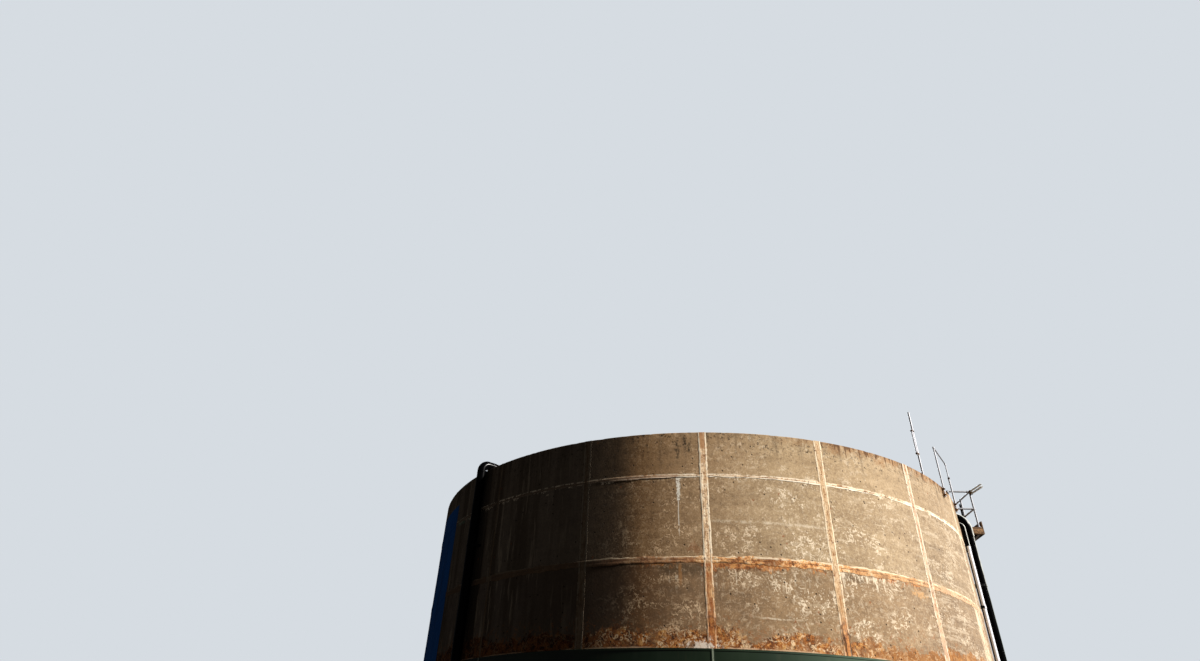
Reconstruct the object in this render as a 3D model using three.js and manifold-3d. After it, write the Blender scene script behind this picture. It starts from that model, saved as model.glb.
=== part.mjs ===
// Open-topped round concrete storage tank with its pipes, platform and rails.
// Millimetres. +Z up, ground at z = 0, tank axis on the Z axis, the front faces -Y.

import * as THREE from 'three';
import { mergeVertices } from 'three/addons/utils/BufferGeometryUtils.js';
import Module from 'manifold-3d';

const wasm = await Module();
wasm.setup();

// Driving dimensions of the tank
const OUTER_R = 7000;
const WALL_T = 220;
const RIM_Z = 8000;
const FLOOR_T = 250;
const PANEL_COUNT = 18;
const FIRST_JOINT_DEG = -90;
const FACET_DEG = 5;
const GAP = 0.3;
// How far inside the wall face a fixed piece is drawn before it's cut to seat on the wall
const SEAT_DEPTH = 100;
const CUT_BELOW = 100;
const CUT_ABOVE = 2000;

// Mortar over the joints
const STRIP_WIDTH = 160;
const STRIP_PROUD = 14;
const NARROW_STRIPS = { indices: [15, 16], width: 40, proud: 6 };
const BAND_PROUD = 10;
const LIFT_BANDS = [
  { z: 7046, height: 50 },
  { z: 5400, height: 130 },
];

// Green jacket round the foot of the wall
const JACKET_TOP = 3870;
const JACKET_BOTTOM = 20;
const JACKET_T = 18;
const JACKET_PLATES = 9;
const PLATE_GAP = 8;
const EDGE_BAR_HEIGHT = 36;
const SEAM_WIDTH = 60;
const SEAM_PROUD = 6;
const SEAM_TOP_STEP = 1;

// Pipes: azimuth, distance of the upright centre line from the tank axis, outside diameters,
// height of the level run, bend radius, where the bend piece starts and where the level run ends
const LEFT_PIPE = {
  deg: -135.3, x: 7130, od: 210, bendOd: 210, topZ: 8125, bendR: 160, bendFrom: 7900, endX: 6450,
  steps: 18, clampHeights: [2300, 6200], clampFoot: 70,
};
const RIGHT_PIPE = {
  deg: -10, x: 7342, od: 220, bendOd: 250, topZ: 8250, bendR: 350, bendFrom: 7700, endX: 6450,
  steps: 18, clampHeights: [2300, 6450], clampFoot: 70,
};
const SMALL_PIPE = {
  deg: -16.5, x: 7105, od: 110, bendOd: 116, topZ: 7780, bendR: 85, bendFrom: 7220, endX: 7016,
  steps: 14, clampHeights: [2300, 5766], clampFoot: 40,
};
const PIPE_SIDES = 20;
const FLANGE_R = 110;
const FLANGE_DEPTH = 80;
const CLAMP_HEIGHT = 60;
const CLAMP_T = 10;
const WEB_STAND_OFF = 60;
const WEB_EDGE_STEP = 1;

// Platform beside the rim: its outer edge is square to this azimuth, its middle lies off to one side
const PLATFORM_DEG = 2.5;
const PLATFORM_Y = -592;
const PLATFORM_SEAT = 160;
const DECK_TOP = 8090;
const DECK_T = 40;
const DECK_OUTER_X = 7765;
const DECK_HALF = 660;
const BEAM_WIDTH = 60;
const BEAM_HEIGHT = 150;
const BRACKET_FOOT_Z = 7130;
const BRACKET_PLATE_T = 16;
const BRACE_WIDTH = 50;
const BRACE_END = 90;
const BRACE_ROOT = 30;
const BRACE_SINK = 10;
const JOISTS = { spread: 220, width: 50, rise: 8 };
const TOE_T = 28;
const TOE_TOP = 8250;
const POST_X = 7664;
const POST_Y = 634;
const WALL_POST_X = 7060;
const RAIL_TOP = 9090;
const RAIL_MID = 8600;
const TUBE = 48;
const RAIL_TUBE = 44;
const TUBE_SIDES = 8;
const STUB_END_Y = -1190;
const STUB_FLARE = 73;
const STUB_DROP = 65;
const STUB_SIDE = 15;
const STUB_RISE = 5;
const STUB_BLOCK = { back: 20, front: 55, depth: 40, below: 90, above: 30 };

// Guardrail and antenna on the rim
const GUARD_NEAR_DEG = -35.4;
const GUARD_FAR_DEG = -25.8;
const GUARD_R = 7040;
const GUARD_TOP = 8985;
const GUARD_FOOT = 7740;
const GUARD_FOOT_WIDTH = 50;
const GUARD_FOOT_STEP = 10;
const GUARD_POST_RISE = 12;
const GUARD_POST_LAP = 20;
const GUARD_TUBES = { near: 34, farLow: 40, farHigh: 28, rail: 28 };
const MAST_DEG = -41.5;
const MAST_R = 6890;
const MAST_TOP = 9690;
const MAST_TUBE = 42;
const MAST_BASE = 160;
const MAST_BASE_T = 12;
const ELEMENT = { side: -62, low: 8560, high: 9200, tube: 34, clampWidth: 50, clampHeight: 30 };

// Colours and finishes
const concrete = new THREE.MeshStandardMaterial({ color: 0x8d7f68, roughness: 0.95 });
const mortar = new THREE.MeshStandardMaterial({ color: 0xb39b78, roughness: 0.95 });
const greenSteel = new THREE.MeshStandardMaterial({ color: 0x22352c, roughness: 0.35, metalness: 0.2 });
const blackPipe = new THREE.MeshStandardMaterial({ color: 0x0c0d0f, roughness: 0.35 });
const whitePipe = new THREE.MeshStandardMaterial({ color: 0xd8d6ce, roughness: 0.5 });
const galvanised = new THREE.MeshStandardMaterial({ color: 0xa9adb2, roughness: 0.5, metalness: 0.7 });
const rustySteel = new THREE.MeshStandardMaterial({ color: 0x5b3f28, roughness: 0.85, metalness: 0.3 });
const timber = new THREE.MeshStandardMaterial({ color: 0x6a5138, roughness: 0.9 });

const tank = new THREE.Group();
const rad = THREE.MathUtils.degToRad;

function addPart(name, geometry, material) {
  const mesh = new THREE.Mesh(geometry, material);
  mesh.name = name;
  tank.add(mesh);
  return mesh;
}

// Solids: a closed geometry as a solid, and back
function toSolid(geometry) {
  const bare = geometry.clone();
  bare.deleteAttribute('normal');
  bare.deleteAttribute('uv');
  const merged = mergeVertices(bare, 1e-3);
  return new wasm.Manifold(new wasm.Mesh({
    numProp: 3,
    vertProperties: new Float32Array(merged.attributes.position.array),
    triVerts: new Uint32Array(merged.index.array),
  }));
}

function toGeometry(solid) {
  const mesh = solid.getMesh();
  const geometry = new THREE.BufferGeometry();
  geometry.setAttribute('position', new THREE.BufferAttribute(new Float32Array(mesh.vertProperties), 3));
  geometry.setIndex(new THREE.BufferAttribute(new Uint32Array(mesh.triVerts), 1));
  geometry.computeVertexNormals();
  return geometry;
}

function union(geometries) {
  return geometries.map(toSolid).reduce((sum, next) => sum.add(next));
}

// Round shapes about the tank axis, with their corners at whole facets
function arcPoints(radius, fromDeg, toDeg) {
  const points = [];
  const first = Math.ceil(fromDeg / FACET_DEG + 1e-6);
  const last = Math.floor(toDeg / FACET_DEG - 1e-6);
  const cornerRadius = (deg) => {
    const half = FACET_DEG / 2;
    const inFacet = deg - Math.floor(deg / FACET_DEG) * FACET_DEG - half;
    return radius * Math.cos(rad(half)) / Math.cos(rad(inFacet));
  };
  const at = (deg) => {
    const r = cornerRadius(deg);
    return new THREE.Vector2(r * Math.cos(rad(deg)), r * Math.sin(rad(deg)));
  };
  points.push(at(fromDeg));
  for (let k = first; k <= last; k += 1) {
    points.push(at(k * FACET_DEG));
  }
  points.push(at(toDeg));
  return points;
}

function extrudeUp(shape, zLow, zHigh) {
  const geometry = new THREE.ExtrudeGeometry(shape, { depth: zHigh - zLow, bevelEnabled: false });
  geometry.translate(0, 0, zLow);
  return geometry;
}

function ringSegment(rIn, rOut, fromDeg, toDeg, zLow, zHigh) {
  const outer = arcPoints(rOut, fromDeg, toDeg);
  const inner = arcPoints(rIn, fromDeg, toDeg).reverse();
  return extrudeUp(new THREE.Shape([...outer, ...inner]), zLow, zHigh);
}

function fullCircle(radius) {
  const points = [];
  for (let deg = 0; deg < 360; deg += FACET_DEG) {
    points.push(new THREE.Vector2(radius * Math.cos(rad(deg)), radius * Math.sin(rad(deg))));
  }
  return points;
}

function fullRing(rIn, rOut, zLow, zHigh) {
  const shape = new THREE.Shape(fullCircle(rOut));
  shape.holes.push(new THREE.Path(fullCircle(rIn)));
  return extrudeUp(shape, zLow, zHigh);
}

// What a piece fixed to the tank must stay clear of
const wallFace = toSolid(
  extrudeUp(new THREE.Shape(fullCircle(OUTER_R + GAP)), -CUT_BELOW, RIM_Z + CUT_ABOVE),
);
const jacketFace = toSolid(
  extrudeUp(new THREE.Shape(fullCircle(OUTER_R + JACKET_T + GAP)), -CUT_BELOW, JACKET_TOP + GAP),
);

// A piece drawn with x pointing away from the tank, turned to its azimuth and cut to seat on the face
function seated(geometries, deg) {
  const placed = geometries.map((geometry) => geometry.clone().rotateZ(rad(deg)));
  return toGeometry(union(placed).subtract(wallFace).subtract(jacketFace));
}

function box(x0, x1, y0, y1, z0, z1) {
  const geometry = new THREE.BoxGeometry(x1 - x0, y1 - y0, z1 - z0);
  geometry.translate((x0 + x1) / 2, (y0 + y1) / 2, (z0 + z1) / 2);
  return geometry;
}

function tubeBetween(from, to, diameter, sides = TUBE_SIDES) {
  const a = new THREE.Vector3(...from);
  const b = new THREE.Vector3(...to);
  const along = b.clone().sub(a);
  const geometry = new THREE.CylinderGeometry(diameter / 2, diameter / 2, along.length(), sides);
  const upright = new THREE.Vector3(0, 1, 0);
  const turn = new THREE.Quaternion().setFromUnitVectors(upright, along.clone().normalize());
  geometry.applyQuaternion(turn);
  const middle = a.add(b).multiplyScalar(0.5);
  geometry.translate(middle.x, middle.y, middle.z);
  return geometry;
}

// Floor and wall
function addConcrete() {
  const floor = new THREE.Shape(fullCircle(OUTER_R - WALL_T - GAP));
  addPart('floor_slab', extrudeUp(floor, 0, FLOOR_T), concrete);

  const panelDeg = 360 / PANEL_COUNT;
  const halfGapDeg = THREE.MathUtils.radToDeg(GAP / 2 / (OUTER_R - WALL_T));
  for (let i = 0; i < PANEL_COUNT; i += 1) {
    const from = FIRST_JOINT_DEG + i * panelDeg + halfGapDeg;
    const to = FIRST_JOINT_DEG + (i + 1) * panelDeg - halfGapDeg;
    const name = `wall_panel_${String(i + 1).padStart(2, '0')}`;
    addPart(name, ringSegment(OUTER_R - WALL_T, OUTER_R, from, to, 0, RIM_Z), concrete);
  }

  const mortarPieces = LIFT_BANDS.map(({ z, height }) => (
    fullRing(OUTER_R + GAP, OUTER_R + BAND_PROUD, z - height / 2, z + height / 2)
  ));
  for (let i = 0; i < PANEL_COUNT; i += 1) {
    const deg = FIRST_JOINT_DEG + i * panelDeg;
    const narrow = NARROW_STRIPS.indices.includes(i);
    const halfDeg = THREE.MathUtils.radToDeg((narrow ? NARROW_STRIPS.width : STRIP_WIDTH) / 2 / OUTER_R);
    const faceR = OUTER_R + (narrow ? NARROW_STRIPS.proud : STRIP_PROUD);
    mortarPieces.push(
      ringSegment(OUTER_R + GAP, faceR, deg - halfDeg, deg + halfDeg, JACKET_TOP + GAP, RIM_Z),
    );
  }
  addPart('joint_bands', toGeometry(union(mortarPieces)), mortar);
}

// Jacket plates, the bar along their top edge and the strips over their seams
function addJacket() {
  const plateDeg = 360 / JACKET_PLATES;
  const faceR = OUTER_R + JACKET_T;
  const seamGapDeg = THREE.MathUtils.radToDeg(PLATE_GAP / 2 / faceR);
  const halfSeamDeg = THREE.MathUtils.radToDeg(SEAM_WIDTH / 2 / faceR);
  const trim = [fullRing(faceR + GAP, faceR + SEAM_PROUD, JACKET_TOP - EDGE_BAR_HEIGHT, JACKET_TOP)];
  for (let i = 0; i < JACKET_PLATES; i += 1) {
    const seam = FIRST_JOINT_DEG + i * plateDeg;
    addPart(`jacket_plate_${i + 1}`, ringSegment(
      OUTER_R + GAP, faceR, seam + seamGapDeg, seam + plateDeg - seamGapDeg, JACKET_BOTTOM, JACKET_TOP,
    ), greenSteel);
    trim.push(ringSegment(
      faceR + GAP, faceR + SEAM_PROUD, seam - halfSeamDeg, seam + halfSeamDeg,
      JACKET_BOTTOM, JACKET_TOP - SEAM_TOP_STEP,
    ));
  }
  addPart('jacket_trim', toGeometry(union(trim)), greenSteel);
}

// A pipe's centre line from upright, round its bend, to level towards the tank axis
class BendLine extends THREE.Curve {
  constructor(pipe) {
    super();
    this.pipe = pipe;
    this.upright = pipe.topZ - pipe.bendR - pipe.bendFrom;
    this.arc = pipe.bendR * Math.PI / 2;
    this.level = pipe.x - pipe.bendR - pipe.endX;
  }

  getPoint(t, target = new THREE.Vector3()) {
    const { x, bendR, bendFrom, topZ } = this.pipe;
    const s = t * (this.upright + this.arc + this.level);
    if (s <= this.upright) {
      return target.set(x, 0, bendFrom + s);
    }
    if (s <= this.upright + this.arc) {
      const turn = (s - this.upright) / bendR;
      return target.set(x - bendR + bendR * Math.cos(turn), 0, topZ - bendR + bendR * Math.sin(turn));
    }
    return target.set(x - bendR - (s - this.upright - this.arc), 0, topZ);
  }
}

function circleShape(radius, sides) {
  const points = [];
  for (let i = 0; i < sides; i += 1) {
    const turn = (i / sides) * 2 * Math.PI;
    points.push(new THREE.Vector2(radius * Math.cos(turn), radius * Math.sin(turn)));
  }
  return new THREE.Shape(points);
}

function addPipe(name, bendName, pipe, riserMaterial, bendMaterial) {
  const riser = new THREE.CylinderGeometry(pipe.od / 2, pipe.od / 2, pipe.bendFrom - GAP, PIPE_SIDES);
  riser.rotateX(Math.PI / 2);
  riser.translate(pipe.x, 0, (pipe.bendFrom - GAP) / 2);
  addPart(name, riser.rotateZ(rad(pipe.deg)), riserMaterial);

  const bend = new THREE.ExtrudeGeometry(circleShape(pipe.bendOd / 2, PIPE_SIDES), {
    steps: pipe.steps, extrudePath: new BendLine(pipe), bevelEnabled: false,
  });
  addPart(bendName, bend.rotateZ(rad(pipe.deg)), bendMaterial);
}

// A clamp: feet on the wall, two legs, and a half ring round the far side of the pipe
function clampOutline(pipe) {
  const inner = pipe.od / 2 + GAP;
  const outer = inner + CLAMP_T;
  const half = outer + pipe.clampFoot;
  const backX = OUTER_R - SEAT_DEPTH;
  const footX = OUTER_R + JACKET_T + CLAMP_T;
  const shape = new THREE.Shape();
  shape.moveTo(backX, -half);
  shape.lineTo(footX, -half);
  shape.lineTo(footX, -outer);
  shape.lineTo(pipe.x, -outer);
  shape.absarc(pipe.x, 0, outer, -Math.PI / 2, Math.PI / 2, false);
  shape.lineTo(footX, outer);
  shape.lineTo(footX, half);
  shape.lineTo(backX, half);
  shape.lineTo(backX, inner);
  shape.lineTo(pipe.x, inner);
  shape.absarc(pipe.x, 0, inner, Math.PI / 2, -Math.PI / 2, true);
  shape.lineTo(backX, -inner);
  return shape;
}

// Where a pipe stands well off the wall, a web behind it joins the clamp's legs
function clampPieces(pipe, z) {
  const strap = new THREE.ExtrudeGeometry(clampOutline(pipe), {
    depth: CLAMP_HEIGHT, bevelEnabled: false, curveSegments: PIPE_SIDES / 4,
  });
  strap.translate(0, 0, z - CLAMP_HEIGHT / 2);
  const webX = pipe.x - pipe.od / 2 - GAP;
  if (webX - OUTER_R < WEB_STAND_OFF) {
    return [strap];
  }
  const halfWeb = (pipe.od + CLAMP_T) / 2;
  const halfHeight = CLAMP_HEIGHT / 2 - WEB_EDGE_STEP;
  return [strap, box(webX - CLAMP_T, webX, -halfWeb, halfWeb, z - halfHeight, z + halfHeight)];
}

function addClamps(name, pipe) {
  ['low', 'high'].forEach((level, i) => {
    const pieces = clampPieces(pipe, pipe.clampHeights[i]);
    addPart(`${name}_clamp_${level}`, seated(pieces, pipe.deg), rustySteel);
  });
}

function addPipes() {
  addPipe('left_pipe_riser', 'left_pipe_bend', LEFT_PIPE, blackPipe, blackPipe);
  addPipe('right_pipe_riser', 'right_pipe_bend', RIGHT_PIPE, blackPipe, blackPipe);
  addPipe('small_pipe_riser', 'small_pipe_bend', SMALL_PIPE, whitePipe, blackPipe);
  addClamps('left_pipe', LEFT_PIPE);
  addClamps('right_pipe', RIGHT_PIPE);
  addClamps('small_pipe', SMALL_PIPE);

  const flange = new THREE.CylinderGeometry(FLANGE_R, FLANGE_R, FLANGE_DEPTH, PIPE_SIDES);
  flange.rotateZ(Math.PI / 2);
  flange.translate(SMALL_PIPE.endX - GAP - FLANGE_DEPTH / 2, 0, SMALL_PIPE.topZ);
  addPart('small_pipe_flange', seated([flange], SMALL_PIPE.deg), rustySteel);
}

// A platform piece drawn about the platform's middle, moved to its place on the tank
function onPlatform(solid) {
  return toGeometry(solid).translate(0, PLATFORM_Y, 0).rotateZ(rad(PLATFORM_DEG));
}

function seatedOnPlatform(geometries) {
  return seated(geometries.map((geometry) => geometry.clone().translate(0, PLATFORM_Y, 0)), PLATFORM_DEG);
}

// Cantilever bracket: a beam under the deck, a foot down the wall and a brace between them
function platformBracket(side) {
  const outerY = side * DECK_HALF;
  const innerY = side * (DECK_HALF - BEAM_WIDTH);
  const low = Math.min(outerY, innerY);
  const high = Math.max(outerY, innerY);
  const beamTop = DECK_TOP - DECK_T - GAP;
  const beamLow = beamTop - BEAM_HEIGHT;
  const wallX = Math.sqrt(OUTER_R ** 2 - (PLATFORM_Y + (low + high) / 2) ** 2);
  const backX = wallX - SEAT_DEPTH;
  const footX = wallX + BRACKET_PLATE_T;
  const rootX = footX - BRACE_ROOT;
  const braceLow = BRACKET_FOOT_Z + BRACE_SINK;
  const braceHigh = beamLow + BRACE_SINK;
  const beam = box(backX, DECK_OUTER_X, low, high, beamLow, beamTop);
  const foot = box(backX, footX, low, high, BRACKET_FOOT_Z, braceHigh);
  const brace = new THREE.ExtrudeGeometry(new THREE.Shape([
    new THREE.Vector2(rootX, braceLow),
    new THREE.Vector2(footX, braceLow),
    new THREE.Vector2(DECK_OUTER_X - BRACE_END, braceHigh),
    new THREE.Vector2(DECK_OUTER_X - 2 * BRACE_END, braceHigh),
    new THREE.Vector2(rootX, BRACKET_FOOT_Z + BRACE_END),
  ]), { depth: BRACE_WIDTH, bevelEnabled: false });
  brace.rotateX(Math.PI / 2);
  brace.translate(0, high - (BEAM_WIDTH - BRACE_WIDTH) / 2, 0);
  return seatedOnPlatform([beam, foot, brace]);
}

// Between the brackets: a beam along the deck's outer edge and two joists from it to the wall
function platformJoists() {
  const beamTop = DECK_TOP - DECK_T - GAP;
  const beamLow = beamTop - BEAM_HEIGHT;
  const end = DECK_HALF - BEAM_WIDTH - GAP;
  const pieces = [box(DECK_OUTER_X - BEAM_WIDTH, DECK_OUTER_X, -end, end, beamLow, beamTop)];
  for (const y of [-JOISTS.spread, JOISTS.spread]) {
    pieces.push(box(
      OUTER_R - PLATFORM_SEAT, DECK_OUTER_X - BEAM_WIDTH / 2,
      y - JOISTS.width / 2, y + JOISTS.width / 2, beamLow + JOISTS.rise, beamTop,
    ));
  }
  return seatedOnPlatform(pieces);
}

function platformSideRail(ySide) {
  const y = ySide * POST_Y;
  const end = POST_X - TUBE / 2 - GAP;
  return union([
    tubeBetween([WALL_POST_X, y, DECK_TOP + GAP], [WALL_POST_X, y, RAIL_TOP + TUBE / 2], TUBE),
    tubeBetween([WALL_POST_X, y, RAIL_TOP], [end, y, RAIL_TOP], TUBE),
    tubeBetween([WALL_POST_X, y, RAIL_MID], [end, y, RAIL_MID], TUBE),
  ]);
}

function addPlatform() {
  const deck = box(OUTER_R - PLATFORM_SEAT, DECK_OUTER_X, -DECK_HALF, DECK_HALF, DECK_TOP - DECK_T, DECK_TOP);
  addPart('platform_deck', seatedOnPlatform([deck]), timber);
  addPart('platform_bracket_near', platformBracket(-1), rustySteel);
  addPart('platform_bracket_far', platformBracket(1), rustySteel);
  addPart('platform_joists', platformJoists(), rustySteel);

  const toe = box(DECK_OUTER_X - TOE_T, DECK_OUTER_X, -DECK_HALF, DECK_HALF, DECK_TOP + GAP, TOE_TOP);
  addPart('platform_toe_board', onPlatform(toSolid(toe)), timber);

  const outerRail = [-POST_Y, 0, POST_Y].map((y) => (
    tubeBetween([POST_X, y, DECK_TOP + GAP], [POST_X, y, RAIL_TOP + TUBE / 2], TUBE)
  ));
  for (const z of [RAIL_MID, RAIL_TOP]) {
    outerRail.push(tubeBetween([POST_X, -POST_Y, z], [POST_X, POST_Y, z], RAIL_TUBE));
  }
  addPart('platform_rail_outer', onPlatform(union(outerRail)), galvanised);
  addPart('platform_rail_near', onPlatform(platformSideRail(-1)), galvanised);
  addPart('platform_rail_far', onPlatform(platformSideRail(1)), galvanised);

  addStubTubes();
}

// Two short tubes that run on past the near corner, held by a block against its post
function addStubTubes() {
  const start = -POST_Y - TUBE / 2 - GAP;
  const { back, front, depth, below, above } = STUB_BLOCK;
  const block = box(POST_X - back, POST_X + front, start - depth, start, RAIL_TOP - below, RAIL_TOP + above);
  const stub = (x, z) => tubeBetween([x, start - depth / 2, z], [x + STUB_FLARE, STUB_END_Y, z], TUBE);
  const upper = stub(POST_X + STUB_SIDE, RAIL_TOP + STUB_RISE);
  const lower = stub(POST_X + 2 * STUB_SIDE, RAIL_TOP + STUB_RISE - STUB_DROP);
  addPart('platform_stub_tubes', onPlatform(union([block, upper, lower])), whitePipe);
}

// Guardrail: posts bolted to the outside of the wall, a straight rail between their tops
function addGuardrail() {
  const half = GUARD_FOOT_WIDTH / 2;
  const footTop = RIM_Z - GUARD_FOOT_STEP;
  const foot = (deg) => (
    box(OUTER_R - SEAT_DEPTH, GUARD_R, -half, half, GUARD_FOOT, footTop).rotateZ(rad(deg))
  );
  const point = (deg, z) => [GUARD_R * Math.cos(rad(deg)), GUARD_R * Math.sin(rad(deg)), z];
  const post = (deg, low, high, tube) => tubeBetween(point(deg, low), point(deg, high), tube);
  const postTop = GUARD_TOP + GUARD_POST_RISE;
  const pieces = [
    foot(GUARD_NEAR_DEG),
    foot(GUARD_FAR_DEG),
    post(GUARD_NEAR_DEG, GUARD_FOOT, postTop, GUARD_TUBES.near),
    post(GUARD_FAR_DEG, GUARD_FOOT, RAIL_MID, GUARD_TUBES.farLow),
    post(GUARD_FAR_DEG, RAIL_MID - GUARD_POST_LAP, postTop, GUARD_TUBES.farHigh),
    tubeBetween(point(GUARD_NEAR_DEG, GUARD_TOP), point(GUARD_FAR_DEG, GUARD_TOP), GUARD_TUBES.rail),
  ];
  addPart('rim_guardrail', seated(pieces, 0), galvanised);
}

// Mast on the rim with a parallel element clamped to its side
function addAntenna() {
  const half = MAST_BASE / 2;
  const base = box(MAST_R - half, MAST_R + half, -half, half, RIM_Z + GAP, RIM_Z + MAST_BASE_T);
  const mast = tubeBetween([MAST_R, 0, RIM_Z + MAST_BASE_T / 2], [MAST_R, 0, MAST_TOP], MAST_TUBE);
  addPart('antenna_mast', toGeometry(union([base, mast])).rotateZ(rad(MAST_DEG)), galvanised);

  const { side, low, high, tube, clampWidth, clampHeight } = ELEMENT;
  const element = tubeBetween([MAST_R, side, low], [MAST_R, side, high], tube);
  const clampEnd = -MAST_TUBE / 2 - GAP;
  const halfClamp = clampWidth / 2;
  const clamps = [low + clampHeight, high - clampHeight].map((z) => (
    box(MAST_R - halfClamp, MAST_R + halfClamp, side, clampEnd, z - clampHeight / 2, z + clampHeight / 2)
  ));
  addPart('antenna_element', toGeometry(union([element, ...clamps])).rotateZ(rad(MAST_DEG)), whitePipe);
}

addConcrete();
addJacket();
addPipes();
addPlatform();
addGuardrail();
addAntenna();

export default tank;
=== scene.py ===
import math

import bmesh
import bpy
from mathutils import Matrix, Vector, noise


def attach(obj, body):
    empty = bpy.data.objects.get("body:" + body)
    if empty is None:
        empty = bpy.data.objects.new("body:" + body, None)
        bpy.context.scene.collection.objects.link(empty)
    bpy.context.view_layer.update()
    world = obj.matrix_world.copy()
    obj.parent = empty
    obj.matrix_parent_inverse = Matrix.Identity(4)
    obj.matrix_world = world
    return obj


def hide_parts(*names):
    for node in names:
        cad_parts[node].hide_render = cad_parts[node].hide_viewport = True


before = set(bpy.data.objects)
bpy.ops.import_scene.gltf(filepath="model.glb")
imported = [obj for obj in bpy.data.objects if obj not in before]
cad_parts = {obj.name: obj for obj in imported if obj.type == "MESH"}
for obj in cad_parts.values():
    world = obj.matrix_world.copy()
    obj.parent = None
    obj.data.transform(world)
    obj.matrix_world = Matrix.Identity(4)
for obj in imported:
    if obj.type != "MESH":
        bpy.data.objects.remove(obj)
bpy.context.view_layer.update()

# Dimensions shared with the solids, in metres. Azimuths are in degrees about the tank axis.
OUTER_R = 7.0
WALL_T = 0.22
INNER_R = OUTER_R - WALL_T
RIM_Z = 8.0
FLOOR_T = 0.25
PANEL_COUNT = 18
PANEL_DEG = 360 / PANEL_COUNT
FIRST_JOINT_DEG = -90
STRIP_WIDTH = 0.16
STRIP_PROUD = 0.006
NARROW_STRIPS, NARROW_WIDTH = (15, 16), 0.040
FLAT_STRIPS, FLAT_PROUD = (15, 16, 17), 0.003
BAND_PROUD = 0.006
UPPER_BAND_Z, UPPER_BAND_H = 7.046, 0.060
LOWER_BAND_Z, LOWER_BAND_H = 5.400, 0.130
JACKET_TOP = 3.870
JACKET_BOTTOM = 0.020
JACKET_T = 0.018
JACKET_PLATES = 9
SEAM_PROUD = 0.006
LEFT_PIPE = {
    "deg": -135.3, "x": 7.130, "od": 0.210, "bend_od": 0.210, "top": 8.125,
    "bend_r": 0.160, "from_z": 7.900, "end_x": 6.450, "clamps": (2.300, 6.200), "foot": 0.070,
}
RIGHT_PIPE = {
    "deg": -10, "x": 7.342, "od": 0.220, "bend_od": 0.250, "top": 8.250,
    "bend_r": 0.350, "from_z": 7.700, "end_x": 6.450, "clamps": (2.300, 6.450), "foot": 0.070,
}
SMALL_PIPE = {
    "deg": -16.5, "x": 7.105, "od": 0.110, "bend_od": 0.116, "top": 7.780,
    "bend_r": 0.085, "from_z": 7.220, "end_x": 7.016, "clamps": (2.300, 5.766), "foot": 0.040,
}
PLATFORM_DEG, PLATFORM_Y = 2.5, -0.592
DECK_TOP, DECK_T = 8.090, 0.040
DECK_OUTER_X, DECK_HALF = 7.765, 0.660
TOE_T, TOE_TOP = 0.028, 8.250
DECK_BOARDS = 9
JOIST_SPREAD, JOIST_WIDTH = 0.220, 0.050
BEAM_WIDTH, BEAM_HEIGHT = 0.060, 0.150
BRACKET_FOOT_Z = 7.130
POST_X, POST_Y = 7.664, 0.634
WALL_POST_X = 7.060
RAIL_TOP, RAIL_MID = 9.090, 8.600
TUBE, RAIL_TUBE = 0.048, 0.044
GUARD_DEGS = (-35.4, -25.8)
GUARD_R, GUARD_TOP, GUARD_FOOT = 7.040, 8.985, 7.740
MAST_DEG, MAST_R, MAST_TOP, MAST_TUBE = -41.5, 6.890, 9.690, 0.042
ELEMENT_SIDE, ELEMENT_LOW, ELEMENT_HIGH, ELEMENT_TUBE = -0.062, 8.560, 9.200, 0.034

CAMERA_PLACE = (-0.84245, -20.18443, 1.6552)
CAMERA_AZIMUTH, CAMERA_ELEVATION, CAMERA_ROLL = 95.89, 33.94, 2.46
CAMERA_LENS = 20.802


def srgb(red, green, blue):
    """A linear colour from 0 to 255 display values."""
    def linear(value):
        value /= 255
        return value / 12.92 if value <= 0.04045 else ((value + 0.055) / 1.055) ** 2.4
    return (linear(red), linear(green), linear(blue), 1.0)


# Node graphs

class Num:
    """A number inside a material's graph, so that masks can be written as plain arithmetic."""

    def __init__(self, graph, socket):
        self.graph = graph
        self.socket = socket

    def __add__(self, other):
        return self.graph.math("ADD", self, other)

    def __radd__(self, other):
        return self.graph.math("ADD", other, self)

    def __sub__(self, other):
        return self.graph.math("SUBTRACT", self, other)

    def __rsub__(self, other):
        return self.graph.math("SUBTRACT", other, self)

    def __mul__(self, other):
        return self.graph.math("MULTIPLY", self, other)

    def __rmul__(self, other):
        return self.graph.math("MULTIPLY", other, self)

    def __truediv__(self, other):
        return self.graph.math("DIVIDE", self, other)

    def __abs__(self):
        return self.graph.math("ABSOLUTE", self)


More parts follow.
